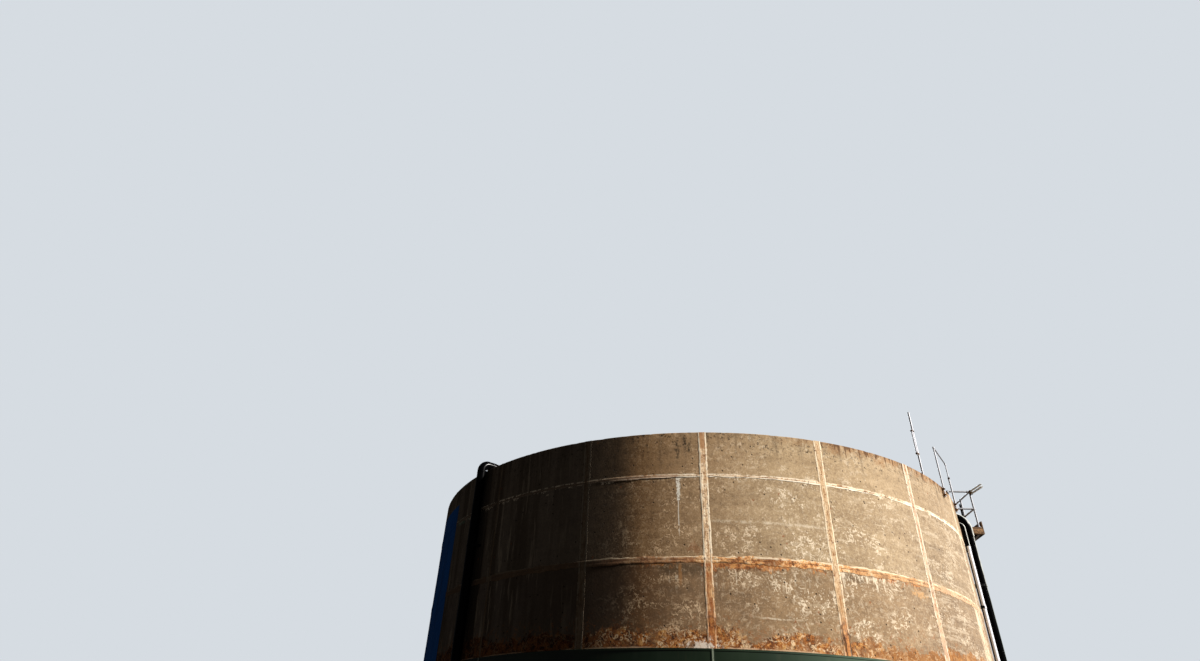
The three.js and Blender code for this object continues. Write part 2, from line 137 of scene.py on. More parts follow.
class Graph:
    """One material with a Principled shader and helpers for the nodes that feed it."""

    def __init__(self, name, metallic=0.0, roughness=0.5, specular=0.5):
        self.material = bpy.data.materials.new(name)
        self.material.use_nodes = True
        self.tree = self.material.node_tree
        self.tree.nodes.clear()
        output = self.tree.nodes.new("ShaderNodeOutputMaterial")
        self.shader = self.tree.nodes.new("ShaderNodeBsdfPrincipled")
        self.tree.links.new(self.shader.outputs[0], output.inputs["Surface"])
        self.shader.inputs["Metallic"].default_value = metallic
        self.shader.inputs["Roughness"].default_value = roughness
        self.shader.inputs["Specular IOR Level"].default_value = specular
        self.place = self.tree.nodes.new("ShaderNodeTexCoord").outputs["Object"]
        split = self.tree.nodes.new("ShaderNodeSeparateXYZ")
        self.tree.links.new(self.place, split.inputs[0])
        self.x, self.y, self.z = (Num(self, socket) for socket in split.outputs)

    def put(self, target, value):
        if isinstance(value, Num):
            value = value.socket
        if isinstance(value, bpy.types.NodeSocket):
            self.tree.links.new(value, target)
        else:
            target.default_value = value

    def math(self, operation, *values, clamp=False):
        node = self.tree.nodes.new("ShaderNodeMath")
        node.operation = operation
        node.use_clamp = clamp
        for target, value in zip(node.inputs, values):
            self.put(target, value)
        return Num(self, node.outputs[0])

    def limit(self, value):
        return self.math("ADD", value, 0.0, clamp=True)

    def largest(self, first, second):
        return self.math("MAXIMUM", first, second)

    def step(self, value, low, high):
        """0 below low, 1 above high, smooth between."""
        node = self.tree.nodes.new("ShaderNodeMapRange")
        node.interpolation_type = "SMOOTHSTEP"
        self.put(node.inputs["Value"], value)
        self.put(node.inputs["From Min"], low)
        self.put(node.inputs["From Max"], high)
        return Num(self, node.outputs[0])

    def band(self, value, low, high, soft):
        """1 between low and high, with soft edges of that half width."""
        return self.step(value, low - soft, low + soft) * (1.0 - self.step(value, high - soft, high + soft))

    def vector(self, x, y, z):
        node = self.tree.nodes.new("ShaderNodeCombineXYZ")
        for target, value in zip(node.inputs, (x, y, z)):
            self.put(target, value)
        return node.outputs[0]

    def noise(self, scale, detail=4.0, rough=0.55, bend=0.0, at=None):
        node = self.tree.nodes.new("ShaderNodeTexNoise")
        self.put(node.inputs["Vector"], at or self.place)
        node.inputs["Scale"].default_value = scale
        node.inputs["Detail"].default_value = detail
        node.inputs["Roughness"].default_value = rough
        node.inputs["Distortion"].default_value = bend
        return Num(self, node.outputs[0])

    def cells(self, scale, at=None, flat=False, jitter=1.0):
        """Distance to the nearest cell's centre, and that cell's random number."""
        node = self.tree.nodes.new("ShaderNodeTexVoronoi")
        node.voronoi_dimensions = "2D" if flat else "3D"
        self.put(node.inputs["Vector"], at or self.place)
        node.inputs["Scale"].default_value = scale
        node.inputs["Randomness"].default_value = jitter
        split = self.tree.nodes.new("ShaderNodeSeparateColor")
        self.tree.links.new(node.outputs["Color"], split.inputs[0])
        return Num(self, node.outputs["Distance"]), Num(self, split.outputs[0])

    def ramp(self, value, stops):
        node = self.tree.nodes.new("ShaderNodeValToRGB")
        elements = node.color_ramp.elements
        while len(elements) < len(stops):
            elements.new(0.5)
        for element, (position, colour) in zip(elements, stops):
            element.position = position
            element.color = colour
        self.put(node.inputs[0], value)
        return node.outputs[0]

    def mix(self, share, first, second, blend="MIX"):
        node = self.tree.nodes.new("ShaderNodeMix")
        node.data_type = "RGBA"
        node.blend_type = blend
        self.put(node.inputs[0], share)
        self.put(node.inputs[6], first)
        self.put(node.inputs[7], second)
        return node.outputs[2]

    def colour(self, value):
        self.put(self.shader.inputs["Base Color"], value)

    def roughness(self, value):
        self.put(self.shader.inputs["Roughness"], value)

    def metallic(self, value):
        self.put(self.shader.inputs["Metallic"], value)

    def relief(self, height):
        """Bump from a height in metres."""
        node = self.tree.nodes.new("ShaderNodeBump")
        node.inputs["Strength"].default_value = 1.0
        node.inputs["Distance"].default_value = 1.0
        self.put(node.inputs["Height"], height)
        self.put(self.shader.inputs["Normal"], node.outputs[0])


# Materials of the concrete tank

DARK_RUST = srgb(74, 42, 22)
PALE_MORTAR = srgb(228, 208, 176)
WHITE_DEPOSIT = srgb(226, 210, 184)
SOOT = srgb(44, 34, 24)


class WallCoords:
    """Where a point is on the unrolled wall: azimuth, metres along it, metres from the nearest joint."""

    def __init__(self, graph):
        self.deg = graph.math("ARCTAN2", graph.y, graph.x) * math.degrees(1)
        self.along = self.deg * math.radians(OUTER_R)
        self.z = graph.z
        turn = (self.deg - FIRST_JOINT_DEG) / PANEL_DEG + 100.5
        self.from_joint = abs(graph.math("FRACT", turn) - 0.5) * math.radians(PANEL_DEG * OUTER_R)
        self.flat = graph.vector(self.along, self.z, 0.0)
        self.streaky = graph.vector(self.along, self.z * 0.07, 0.0)


def painted_field(graph, wall, colour):
    """The blue painted field on the shaded side, worn at its edges."""
    ragged = (graph.noise(6.0, 4) - 0.5) * 0.25
    field = graph.band(wall.deg + ragged, -177.0, -146.4, 0.12) * (1.0 - graph.step(wall.z + ragged * 0.1, 7.53, 7.55))
    wear = graph.step(graph.noise(9.0, 6, 0.7), 0.60, 0.72)
    blue = graph.mix(graph.noise(1.4, 5, 0.6), srgb(0, 76, 152), srgb(0, 102, 190))
    blue = graph.mix(graph.step(graph.noise(3.0, 4, at=wall.streaky), 0.5, 0.75) * 0.4, blue, srgb(0, 46, 90))
    return graph.mix(field * (1.0 - wear * 0.3), colour, blue), field


# Where lime is thickest: azimuth, height, reach in metres
LIME_PATCHES = (
    (-84.6, 5.07, 0.34), (-83.0, 4.72, 0.26), (-79.0, 4.95, 0.28), (-76.5, 4.30, 0.28), (-93.5, 4.52, 0.32),
    (-77.7, 6.74, 0.22), (-83.3, 5.88, 0.26), (-75.2, 5.80, 0.34), (-65.4, 6.12, 0.36), (-61.0, 5.95, 0.28),
    (-45.4, 5.85, 0.50), (-40.0, 6.35, 0.50), (-58.6, 4.66, 0.32), (-66.8, 4.30, 0.36), (-41.0, 5.06, 0.40),
)


def lime(graph, wall, lifts):
    """Where lime shows: curls, flecks and soft clouds, all thicker in patches and longer to the right."""
    thick = 0.0
    for deg, height, reach in LIME_PATCHES:
        across = (wall.deg - deg) * math.radians(OUTER_R / reach)
        rise = (wall.z - height) / (reach * 0.7)
        thick = thick + (1.0 - graph.step(across * across + rise * rise, 0.2, 1.3))
    curl = graph.noise(5.0, 1.5, 0.6, bend=0.9)
    level_curl = graph.noise(4.2, 1.5, 0.6, bend=0.8, at=graph.vector(wall.along * 0.50, wall.z * 1.6, 4.0))
    fine_curl = graph.noise(10.0, 1.0, 0.5, bend=0.7)
    to_right = graph.step(wall.deg, -80.0, -50.0)
    lines = graph.largest(
        (1.0 - graph.step(abs(curl - 0.5), 0.016, 0.036)) * (1.0 - to_right * 0.6),
        1.0 - graph.step(abs(fine_curl - 0.5), 0.026, 0.056),
    )
    level_lines = (1.0 - graph.step(abs(level_curl - 0.5), 0.020, 0.048)) * (0.30 + to_right * 0.70)
    patch_noise = graph.noise(1.4, 5, 0.70, at=graph.vector(wall.along * 0.8, wall.z * 1.3, 2.0))
    patches = graph.step(patch_noise + thick * 0.12, 0.50, 0.59)
    breaks = graph.step(graph.noise(8.0, 3, 0.65) + thick * 0.03, 0.525, 0.555)
    level_breaks = graph.noise(5.0, 4, 0.70, at=graph.vector(wall.along * 0.6, wall.z * 1.4, 7.0))
    level_breaks = graph.step(level_breaks + thick * 0.03, 0.525, 0.555)
    flecks = graph.step(graph.noise(24.0, 3, 0.65), 0.600, 0.635)
    clouds = graph.step(graph.noise(3.0, 7, 0.80, at=graph.vector(wall.along * 0.7, wall.z * 1.4, 1.0)), 0.52, 0.60)
    thin = 0.30 + patches * 0.70
    curls = graph.largest(lines * breaks, level_lines * level_breaks)
    return (
        curls * thin * lifts,
        flecks * thin * lifts,
        clouds * patches * lifts,
    )


# Spilt lime and rust: azimuth, height, half width, half height, strength, colour
SPLASHES = (
    (-91.2, 3.91, 0.24, 0.075, 0.92, srgb(236, 222, 204)),
    (-53.6, 5.17, 0.16, 0.07, 0.50, srgb(214, 164, 108)),
    (-91.9, 5.60, 0.11, 0.13, 0.45, srgb(146, 92, 54)),
)


def splash(graph, wall, colour, deg, height, wide, high, strength, tint):
    across = (wall.deg - deg) * math.radians(OUTER_R / wide)
    rise = (wall.z - height) / high
    reach = graph.math("SQRT", across * across + rise * rise)
    share = graph.step(graph.noise(9.0, 6, 0.85) - reach * 0.13, 0.375, 0.400)
    return graph.mix(share * strength, colour, tint)


def concrete_outer():
    g = Graph("concrete_outer", roughness=0.93, specular=0.25)
    wall = WallCoords(g)
    clouds = g.noise(0.42, 4, 0.6)
    courses = g.noise(1.0, 5, 0.65, at=g.vector(wall.along * 0.45, wall.z * 4.5, 0.0))
    mottle = g.noise(6.0, 7, 0.85)
    grain = g.noise(30.0, 4, 0.8)
    tone = clouds * 0.26 + courses * 0.28 + mottle * 0.42 + grain * 0.54 - 0.25
    colour = g.ramp(tone, [
        (0.36, srgb(104, 82, 57)),
        (0.45, srgb(142, 118, 87)),
        (0.54, srgb(166, 142, 109)),
        (0.66, srgb(200, 178, 146)),
    ])
    low_lift = 1.0 - g.step(wall.z, 5.35, 5.45)
    colour = g.mix(g.step(wall.z, 7.0, 7.1) * 0.16, colour, srgb(196, 164, 120))
    colour = g.mix(low_lift * (0.62 - g.step(wall.deg, -58.0, -44.0) * 0.24), colour, srgb(188, 158, 120), "MULTIPLY")

    # Lime, scarcer on the top lift
    in_sun = g.step(wall.deg, -113.0, -100.0)
    lower_lifts = (1.0 - g.step(wall.z, 6.85, 7.25) * 0.52) * (0.25 + in_sun * 0.75)
    curls, flecks, haze = lime(g, wall, lower_lifts)
    rightward = g.step(wall.deg, -72.0, -46.0)
    colour = g.mix(haze * (0.30 + rightward * 0.14), colour, srgb(208, 192, 165))
    dark_flecks = g.step(g.noise(15.0, 4, 0.80), 0.575, 0.610)
    colour = g.mix(dark_flecks * 0.68, colour, srgb(86, 60, 36))
    damp = g.step(g.noise(1.9, 6, 0.78), 0.49, 0.60) * g.band(wall.deg, -104.0, -70.0, 6.0)
    colour = g.mix(damp * low_lift * 0.34, colour, srgb(84, 60, 38))
    colour = g.mix(low_lift * g.band(wall.deg, -103.0, -90.5, 4.0) * 0.26, colour, srgb(72, 52, 34))
    colour = g.mix(flecks * 0.80, colour, srgb(232, 216, 190))
    colour = g.mix(curls * (0.84 - rightward * 0.36), colour, srgb(236, 220, 194))
    # Painted light and shade by azimuth. Where the lit side turns to shade the wall is warmer and then crossed by a
    # dark band. The shaded side is grey. The middle of the lit side is lighter, and the wall is darker and greyer where
    # the sun falls square. The side turned away from the sun takes a darker share.
    warm = in_sun * (1.0 - g.step(wall.deg, -98.0, -74.0))
    colour = g.mix(warm * 0.78, colour, srgb(236, 207, 175), "MULTIPLY")
    colour = g.mix((1.0 - in_sun) * 0.72, colour, srgb(112, 107, 104))
    colour = g.mix(g.band(wall.deg, -107.5, -102.0, 2.5) * 0.55, colour, srgb(20, 14, 8))
    colour = g.mix(g.band(wall.deg, -98.0, -52.0, 5.0) * 0.13, colour, srgb(232, 206, 168))
    colour = g.mix(g.step(wall.deg, -62.0, -40.0) * 0.46, colour, srgb(224, 218, 210), "MULTIPLY")
    colour = g.mix(g.step(wall.deg, -76.0, -36.0) * 0.12, colour, srgb(200, 192, 182))
    painted_shade_side = 1.0 - g.step(wall.deg, -109.0, -99.0)
    colour = g.mix(painted_shade_side * 0.55, colour, srgb(196, 184, 166), "MULTIPLY")

    brushed = g.noise(5.5, 6, 0.76, at=g.vector(wall.along * 0.24, wall.z * 1.7, 5.0))
    brushed = g.step(brushed, 0.52, 0.58) * g.step(wall.deg, -60.0, -44.0) * lower_lifts
    colour = g.mix(brushed * 0.27, colour, srgb(236, 220, 194))
    # Painted shadow: the lower lift is darker between -120° and -101°.
    colour = g.mix(low_lift * g.band(wall.deg, -120.0, -101.0, 4.0) * 0.42, colour, srgb(52, 38, 24))

    # Lime that has run down beside the strip at the right
    beside = g.band(wall.deg + (g.noise(4.0, 5, 0.7) - 0.5) * 2.0, -33.6, -30.0, 0.3) * low_lift
    beside = beside * g.step(g.noise(16.0, 3, 0.6, at=wall.streaky), 0.42, 0.56)
    colour = g.mix(beside * 0.70, colour, srgb(240, 220, 188))

    # Level marks of the form boards
    for height, half, low, high, strength in ((6.13, 0.024, -89.0, -70.0, 0.62), (4.40, 0.012, -83.0, -78.0, 0.9)):
        wave = (g.noise(2.6, 4, 0.7) - 0.5) * 0.10
        mark = g.band(wall.z + wave, height - half, height + half, half * 0.9) * g.band(wall.deg, low, high, 2.0)
        mark = mark * g.step(g.noise(9.0, 6, 0.85), 0.43, 0.56)
        colour = g.mix(mark * strength, colour, WHITE_DEPOSIT)

    # Streaks: dark ones hang from the rim, brown and pale ones from both level joints
    streak = g.noise(3.4, 5, 0.6, at=wall.streaky)
    fine_streak = g.noise(11.0, 4, 0.6, at=wall.streaky)
    below_rim = RIM_Z - wall.z
    hang = g.step(streak * 0.6 + fine_streak * 0.4 - below_rim * 0.16, 0.45, 0.58)
    shaded_side = 1.0 - g.step(wall.deg, -128.0, -104.0)
    colour = g.mix(hang * 0.34, colour, SOOT)
    rim_specks = g.step(g.noise(13.0, 5, 0.82), 0.555, 0.600) * (1.0 - g.step(below_rim, 0.10, 0.85))
    colour = g.mix(rim_specks * 0.80, colour, SOOT)
    rim_rust = (1.0 - g.step(below_rim + (g.noise(4.0, 5, 0.7) - 0.5) * 0.9, 0.0, 0.22)) * g.step(wall.deg, -88.0, -60.0)
    colour = g.mix(rim_rust * 0.50, colour, srgb(152, 104, 58))
    rim_drips = g.step(fine_streak * 0.75 + g.noise(14.0, 4, 0.7) * 0.25 - below_rim * 0.42, 0.480, 0.525)
    colour = g.mix(rim_drips * g.band(wall.deg, -70.0, -30.0, 5.0) * 0.80, colour, srgb(84, 54, 30))
    stain_edge = g.noise(7.0, 5, 0.8) - 0.5
    for deg, low, high in ((-94.2, 7.42, 7.86), (-92.9, 7.56, 7.88), (-92.2, 7.54, 7.80)):
        drip = 1.0 - g.step(abs(wall.deg - deg) + stain_edge * 1.6, 0.14, 0.34)
        drip = drip * g.band(wall.z + stain_edge * 0.3, low, high, 0.03)
        drip = drip * g.step(g.noise(11.0, 5, 0.8), 0.40, 0.54)
        colour = g.mix(drip * 0.80, colour, srgb(46, 40, 30))
    colour = g.mix(shaded_side * g.step(streak, 0.42, 0.60) * 0.60, colour, srgb(58, 44, 30))
    colour = g.mix(shaded_side * g.step(fine_streak, 0.56, 0.62) * 0.45, colour, srgb(176, 160, 138))
    # A dark strip on the wall beside the left pipe, widening towards the bottom.
    beside_pipe = g.band(wall.deg, -139.5, -133.0 + (RIM_Z - wall.z) * 0.12, 0.25)
    colour = g.mix(beside_pipe * 0.7, colour, srgb(40, 32, 24))

    # Under the lower joint: a rusty fall, a lime curtain with dark gaps, thin pale runs
    under_lower = LOWER_BAND_Z - LOWER_BAND_H / 2 - wall.z
    joint_edge = (g.noise(4.0, 7, 0.88) - 0.5) * 0.75
    fall_depth = 0.03 + g.band(wall.deg, -90.0, -79.0, 2.0) * 0.05 + (fine_streak - 0.5) * 0.45
    fall = g.step(under_lower, -0.02, 0.01) * (1.0 - g.step(under_lower + joint_edge - fall_depth, 0.0, 0.03))
    sunny_part = g.band(wall.deg, -99.0, -50.0, 3.0)
    fall_tone = g.ramp(g.noise(5.0, 6, 0.88), [(0.42, srgb(84, 46, 22)), (0.50, srgb(164, 96, 46)), (0.57, srgb(212, 150, 88))])
    colour = g.mix(fall * sunny_part * g.step(g.noise(1.7, 4), 0.42, 0.50) * 0.88, colour, fall_tone)
    dark_gap = g.band(wall.deg, -97.5, -90.8, 0.5) * g.band(under_lower + joint_edge, 0.02, 0.20, 0.05)
    colour = g.mix(dark_gap * 0.62, colour, srgb(84, 66, 46))
    shadow_patch = g.band(wall.deg, -69.0, -65.2, 0.4) * g.band(under_lower + joint_edge * 0.7, 0.02, 0.17, 0.03)
    colour = g.mix(shadow_patch * 0.62, colour, srgb(96, 76, 54))
    curtain = g.band(wall.deg, -69.8, -60.0, 0.5) * g.step(under_lower, -0.02, 0.01)
    curtain = curtain * (1.0 - g.step(under_lower - (fine_streak - 0.5) * 1.8 + joint_edge * 0.4, 0.05, 0.10))
    colour = g.mix(curtain * g.step(g.noise(9.0, 5, 0.75), 0.42, 0.52) * 0.9, colour, WHITE_DEPOSIT)
    pale_drips = g.band(wall.deg, -97.0, -75.0, 2.0) * (1.0 - g.step(under_lower, 0.12, 0.62)) * g.step(under_lower, 0.0, 0.1)
    drip_breaks = g.step(g.noise(7.0, 5, 0.7), 0.46, 0.56)
    colour = g.mix(pale_drips * g.step(fine_streak, 0.54, 0.60) * drip_breaks * 0.7, colour, WHITE_DEPOSIT)
    under_upper = UPPER_BAND_Z - wall.z
    smear_edge = (g.noise(5.0, 6, 0.8) - 0.52) * 0.70
    smear = g.step(under_upper, -0.06, -0.04) * (1.0 - g.step(under_upper - smear_edge, 0.015, 0.035))
    colour = g.mix(smear * g.step(g.noise(9.0, 4, 0.7), 0.44, 0.50) * 0.9, colour, WHITE_DEPOSIT)

    # A narrow upright patch line beside the middle joint
    off_line = abs(wall.deg + 94.25 + (g.noise(2.0, 3) - 0.5) * 0.25) * math.radians(OUTER_R)
    upright = (1.0 - g.step(off_line, 0.006, 0.013)) * g.band(wall.z, 5.9, 6.6, 0.10) * g.step(g.noise(9.0, 3), 0.40, 0.48)
    blob_edge = (g.noise(8.0, 5, 0.75) - 0.5) * 0.16
    blob_side = (g.noise(7.0, 6, 0.8) - 0.5) * 0.16
    blob = (1.0 - g.step(off_line + blob_side, 0.026, 0.040)) * g.band(wall.z + blob_edge, 6.54, 7.02, 0.03)
    blob = blob * g.step(g.noise(16.0, 4, 0.75), 0.38, 0.50)
    colour = g.mix(g.largest(upright * 0.66, blob * 0.96), colour, srgb(255, 248, 232))
    brown_run = (1.0 - g.step(off_line + blob_edge * 0.5, 0.014, 0.040)) * g.band(wall.z, 4.95, 5.33, 0.08)
    colour = g.mix(brown_run * 0.55, colour, srgb(184, 130, 78))

    # Rust that has crept up from the jacket's top edge
    above = wall.z - JACKET_TOP
    creep_edge = (g.noise(1.1, 7, 0.80) - 0.5) * 1.25 + (g.noise(9.0, 4, 0.7) - 0.5) * 0.12
    lower_right = g.step(wall.deg, -72.0, -64.0) * 0.06 - g.band(wall.deg, -55.0, -34.0, 3.0) * 0.16
    creep = 1.0 - g.step(above + creep_edge + lower_right, 0.24, 0.30)
    blotch = g.step(g.noise(3.6, 6, 0.8), 0.45, 0.51)
    rusty = g.ramp(g.noise(6.0, 7, 0.87), [
        (0.41, srgb(56, 28, 14)), (0.465, srgb(112, 60, 24)), (0.52, srgb(176, 106, 44)), (0.585, srgb(218, 166, 100)),
    ])
    golden = creep * g.step(wall.deg, -72.0, -60.0)
    colour = g.mix(creep * (0.35 + blotch * 0.60), colour, rusty)
    colour = g.mix(golden * (1.0 - blotch) * 0.55, colour, srgb(160, 104, 54))
    # Painted shade: the rust is darker on the side turned away from the sun.
    colour = g.mix(creep * painted_shade_side * 0.85, colour, srgb(110, 74, 56), "MULTIPLY")
    loops = 1.0 - g.step(abs(g.noise(5.4, 2.5, 0.55, bend=1.8) - 0.5), 0.020, 0.044)
    loops = loops * g.step(g.noise(5.0, 4, 0.65), 0.48, 0.52)
    colour = g.mix(creep * loops * (0.15 + in_sun * 0.70), colour, srgb(236, 206, 164))
    colour = g.mix(creep * g.step(g.noise(13.0, 4, 0.8), 0.585, 0.615) * 0.85, colour, srgb(60, 34, 18))
    far_creep = g.step(g.noise(9.0, 6, 0.85) - above * 0.16, 0.490, 0.520) * (1.0 - g.step(above, 0.4, 0.9))
    colour = g.mix(far_creep * 0.50, colour, srgb(150, 92, 44))
    colour = g.mix(golden * 0.62, colour, srgb(144, 100, 58))
    edge_line = 1.0 - g.step(above + (g.noise(9.0, 3) - 0.5) * 0.03, 0.016, 0.030)
    colour = g.mix(edge_line * g.step(g.noise(2.0, 3), 0.40, 0.50) * 0.8, colour, srgb(204, 170, 138))
    for place in SPLASHES:
        colour = splash(g, wall, colour, *place)

    # Air holes and a few rust spots
    hole_distance, hole_random = g.cells(5.0, at=wall.flat, flat=True)
    holes = (1.0 - g.step(hole_distance + hole_random * 0.03, 0.085, 0.120)) * g.step(hole_random, 0.84, 0.87)
    colour = g.mix(holes * 0.92, colour, srgb(38, 26, 16))
    spot_distance, spot_random = g.cells(1.9, at=wall.flat, flat=True)
    spots = (1.0 - g.step(spot_distance + (grain - 0.5) * 0.2, 0.02, 0.05)) * g.step(spot_random, 0.80, 0.84)
    colour = g.mix(spots * 0.7, colour, srgb(140, 76, 32))

    beside_strip = g.band(wall.from_joint, 0.070, 0.100, 0.006) * g.step(g.noise(14.0, 4, 0.75), 0.555, 0.590)
    colour = g.mix(beside_strip * 0.85, colour, srgb(66, 42, 26))
    moss = g.band(wall.deg, -147.5, -140.0, 0.6) * g.band(wall.z, 6.93, 7.09, 0.03) * g.step(g.noise(6.0, 4), 0.42, 0.55)
    colour = g.mix(moss * 0.6, colour, srgb(96, 122, 104))
    colour, field = painted_field(g, wall, colour)
    g.colour(colour)
    g.roughness(0.95 - field * 0.05)
    g.relief(mottle * 0.004 + grain * 0.003 - holes * 0.006 + curls * 0.001 - dark_flecks * 0.001)
    return g.material


def concrete_inner():
    """The inside face: a dark wet zone under the old water line, lime bands and runs above it."""
    g = Graph("concrete_inner", roughness=0.85, specular=0.3)
    wall = WallCoords(g)
    tone = g.noise(0.5, 5, 0.65) * 0.5 + g.noise(5.0, 6, 0.7) * 0.5
    dry = g.ramp(tone, [(0.36, srgb(128, 112, 86)), (0.52, srgb(160, 145, 116)), (0.68, srgb(190, 178, 150))])
    wet = g.ramp(tone, [(0.36, srgb(58, 60, 48)), (0.52, srgb(88, 86, 66)), (0.68, srgb(118, 110, 82))])
    level = wall.z + (g.noise(0.8, 4) - 0.5) * 0.16
    colour = g.mix(1.0 - g.step(level, 6.95, 7.05), dry, wet)
    for height, strength in ((7.02, 0.7), (6.60, 0.35), (6.22, 0.3), (5.40, 0.25)):
        colour = g.mix(g.band(level, height - 0.03, height + 0.03, 0.025) * strength, colour, WHITE_DEPOSIT)
    runs = g.step(g.noise(4.0, 5, 0.6, at=wall.streaky), 0.54, 0.68)
    colour = g.mix(runs * 0.45, colour, srgb(48, 42, 32))
    joint_stain = 1.0 - g.step(wall.from_joint + (g.noise(4.0, 4) - 0.5) * 0.12, 0.01, 0.06)
    colour = g.mix(joint_stain * 0.5, colour, srgb(206, 190, 160))
    g.colour(colour)
    g.roughness(0.9 - (1.0 - g.step(level, 6.95, 7.05)) * 0.25)
    g.relief(g.noise(5.0, 6, 0.7) * 0.004 + g.noise(30.0, 4, 0.7) * 0.0015)
    return g.material


def concrete_floor():
    g = Graph("concrete_floor", roughness=0.8, specular=0.35)
    low_spots = g.noise(0.28, 3, 0.5)
    pools = g.step(low_spots, 0.50, 0.58)
    grit = g.noise(4.0, 7, 0.72)
    silt = g.ramp(grit * 0.6 + low_spots * 0.4, [
        (0.40, srgb(104, 94, 74)), (0.50, srgb(128, 116, 92)), (0.60, srgb(150, 138, 112)),
    ])
    colour = g.mix(pools * 0.75, silt, srgb(70, 66, 52))
    rim = g.band(low_spots, 0.488, 0.500, 0.006)
    g.colour(g.mix(rim * 0.14, colour, WHITE_DEPOSIT))
    g.roughness(0.88 - pools * 0.4)
    g.relief(grit * 0.004)
    return g.material


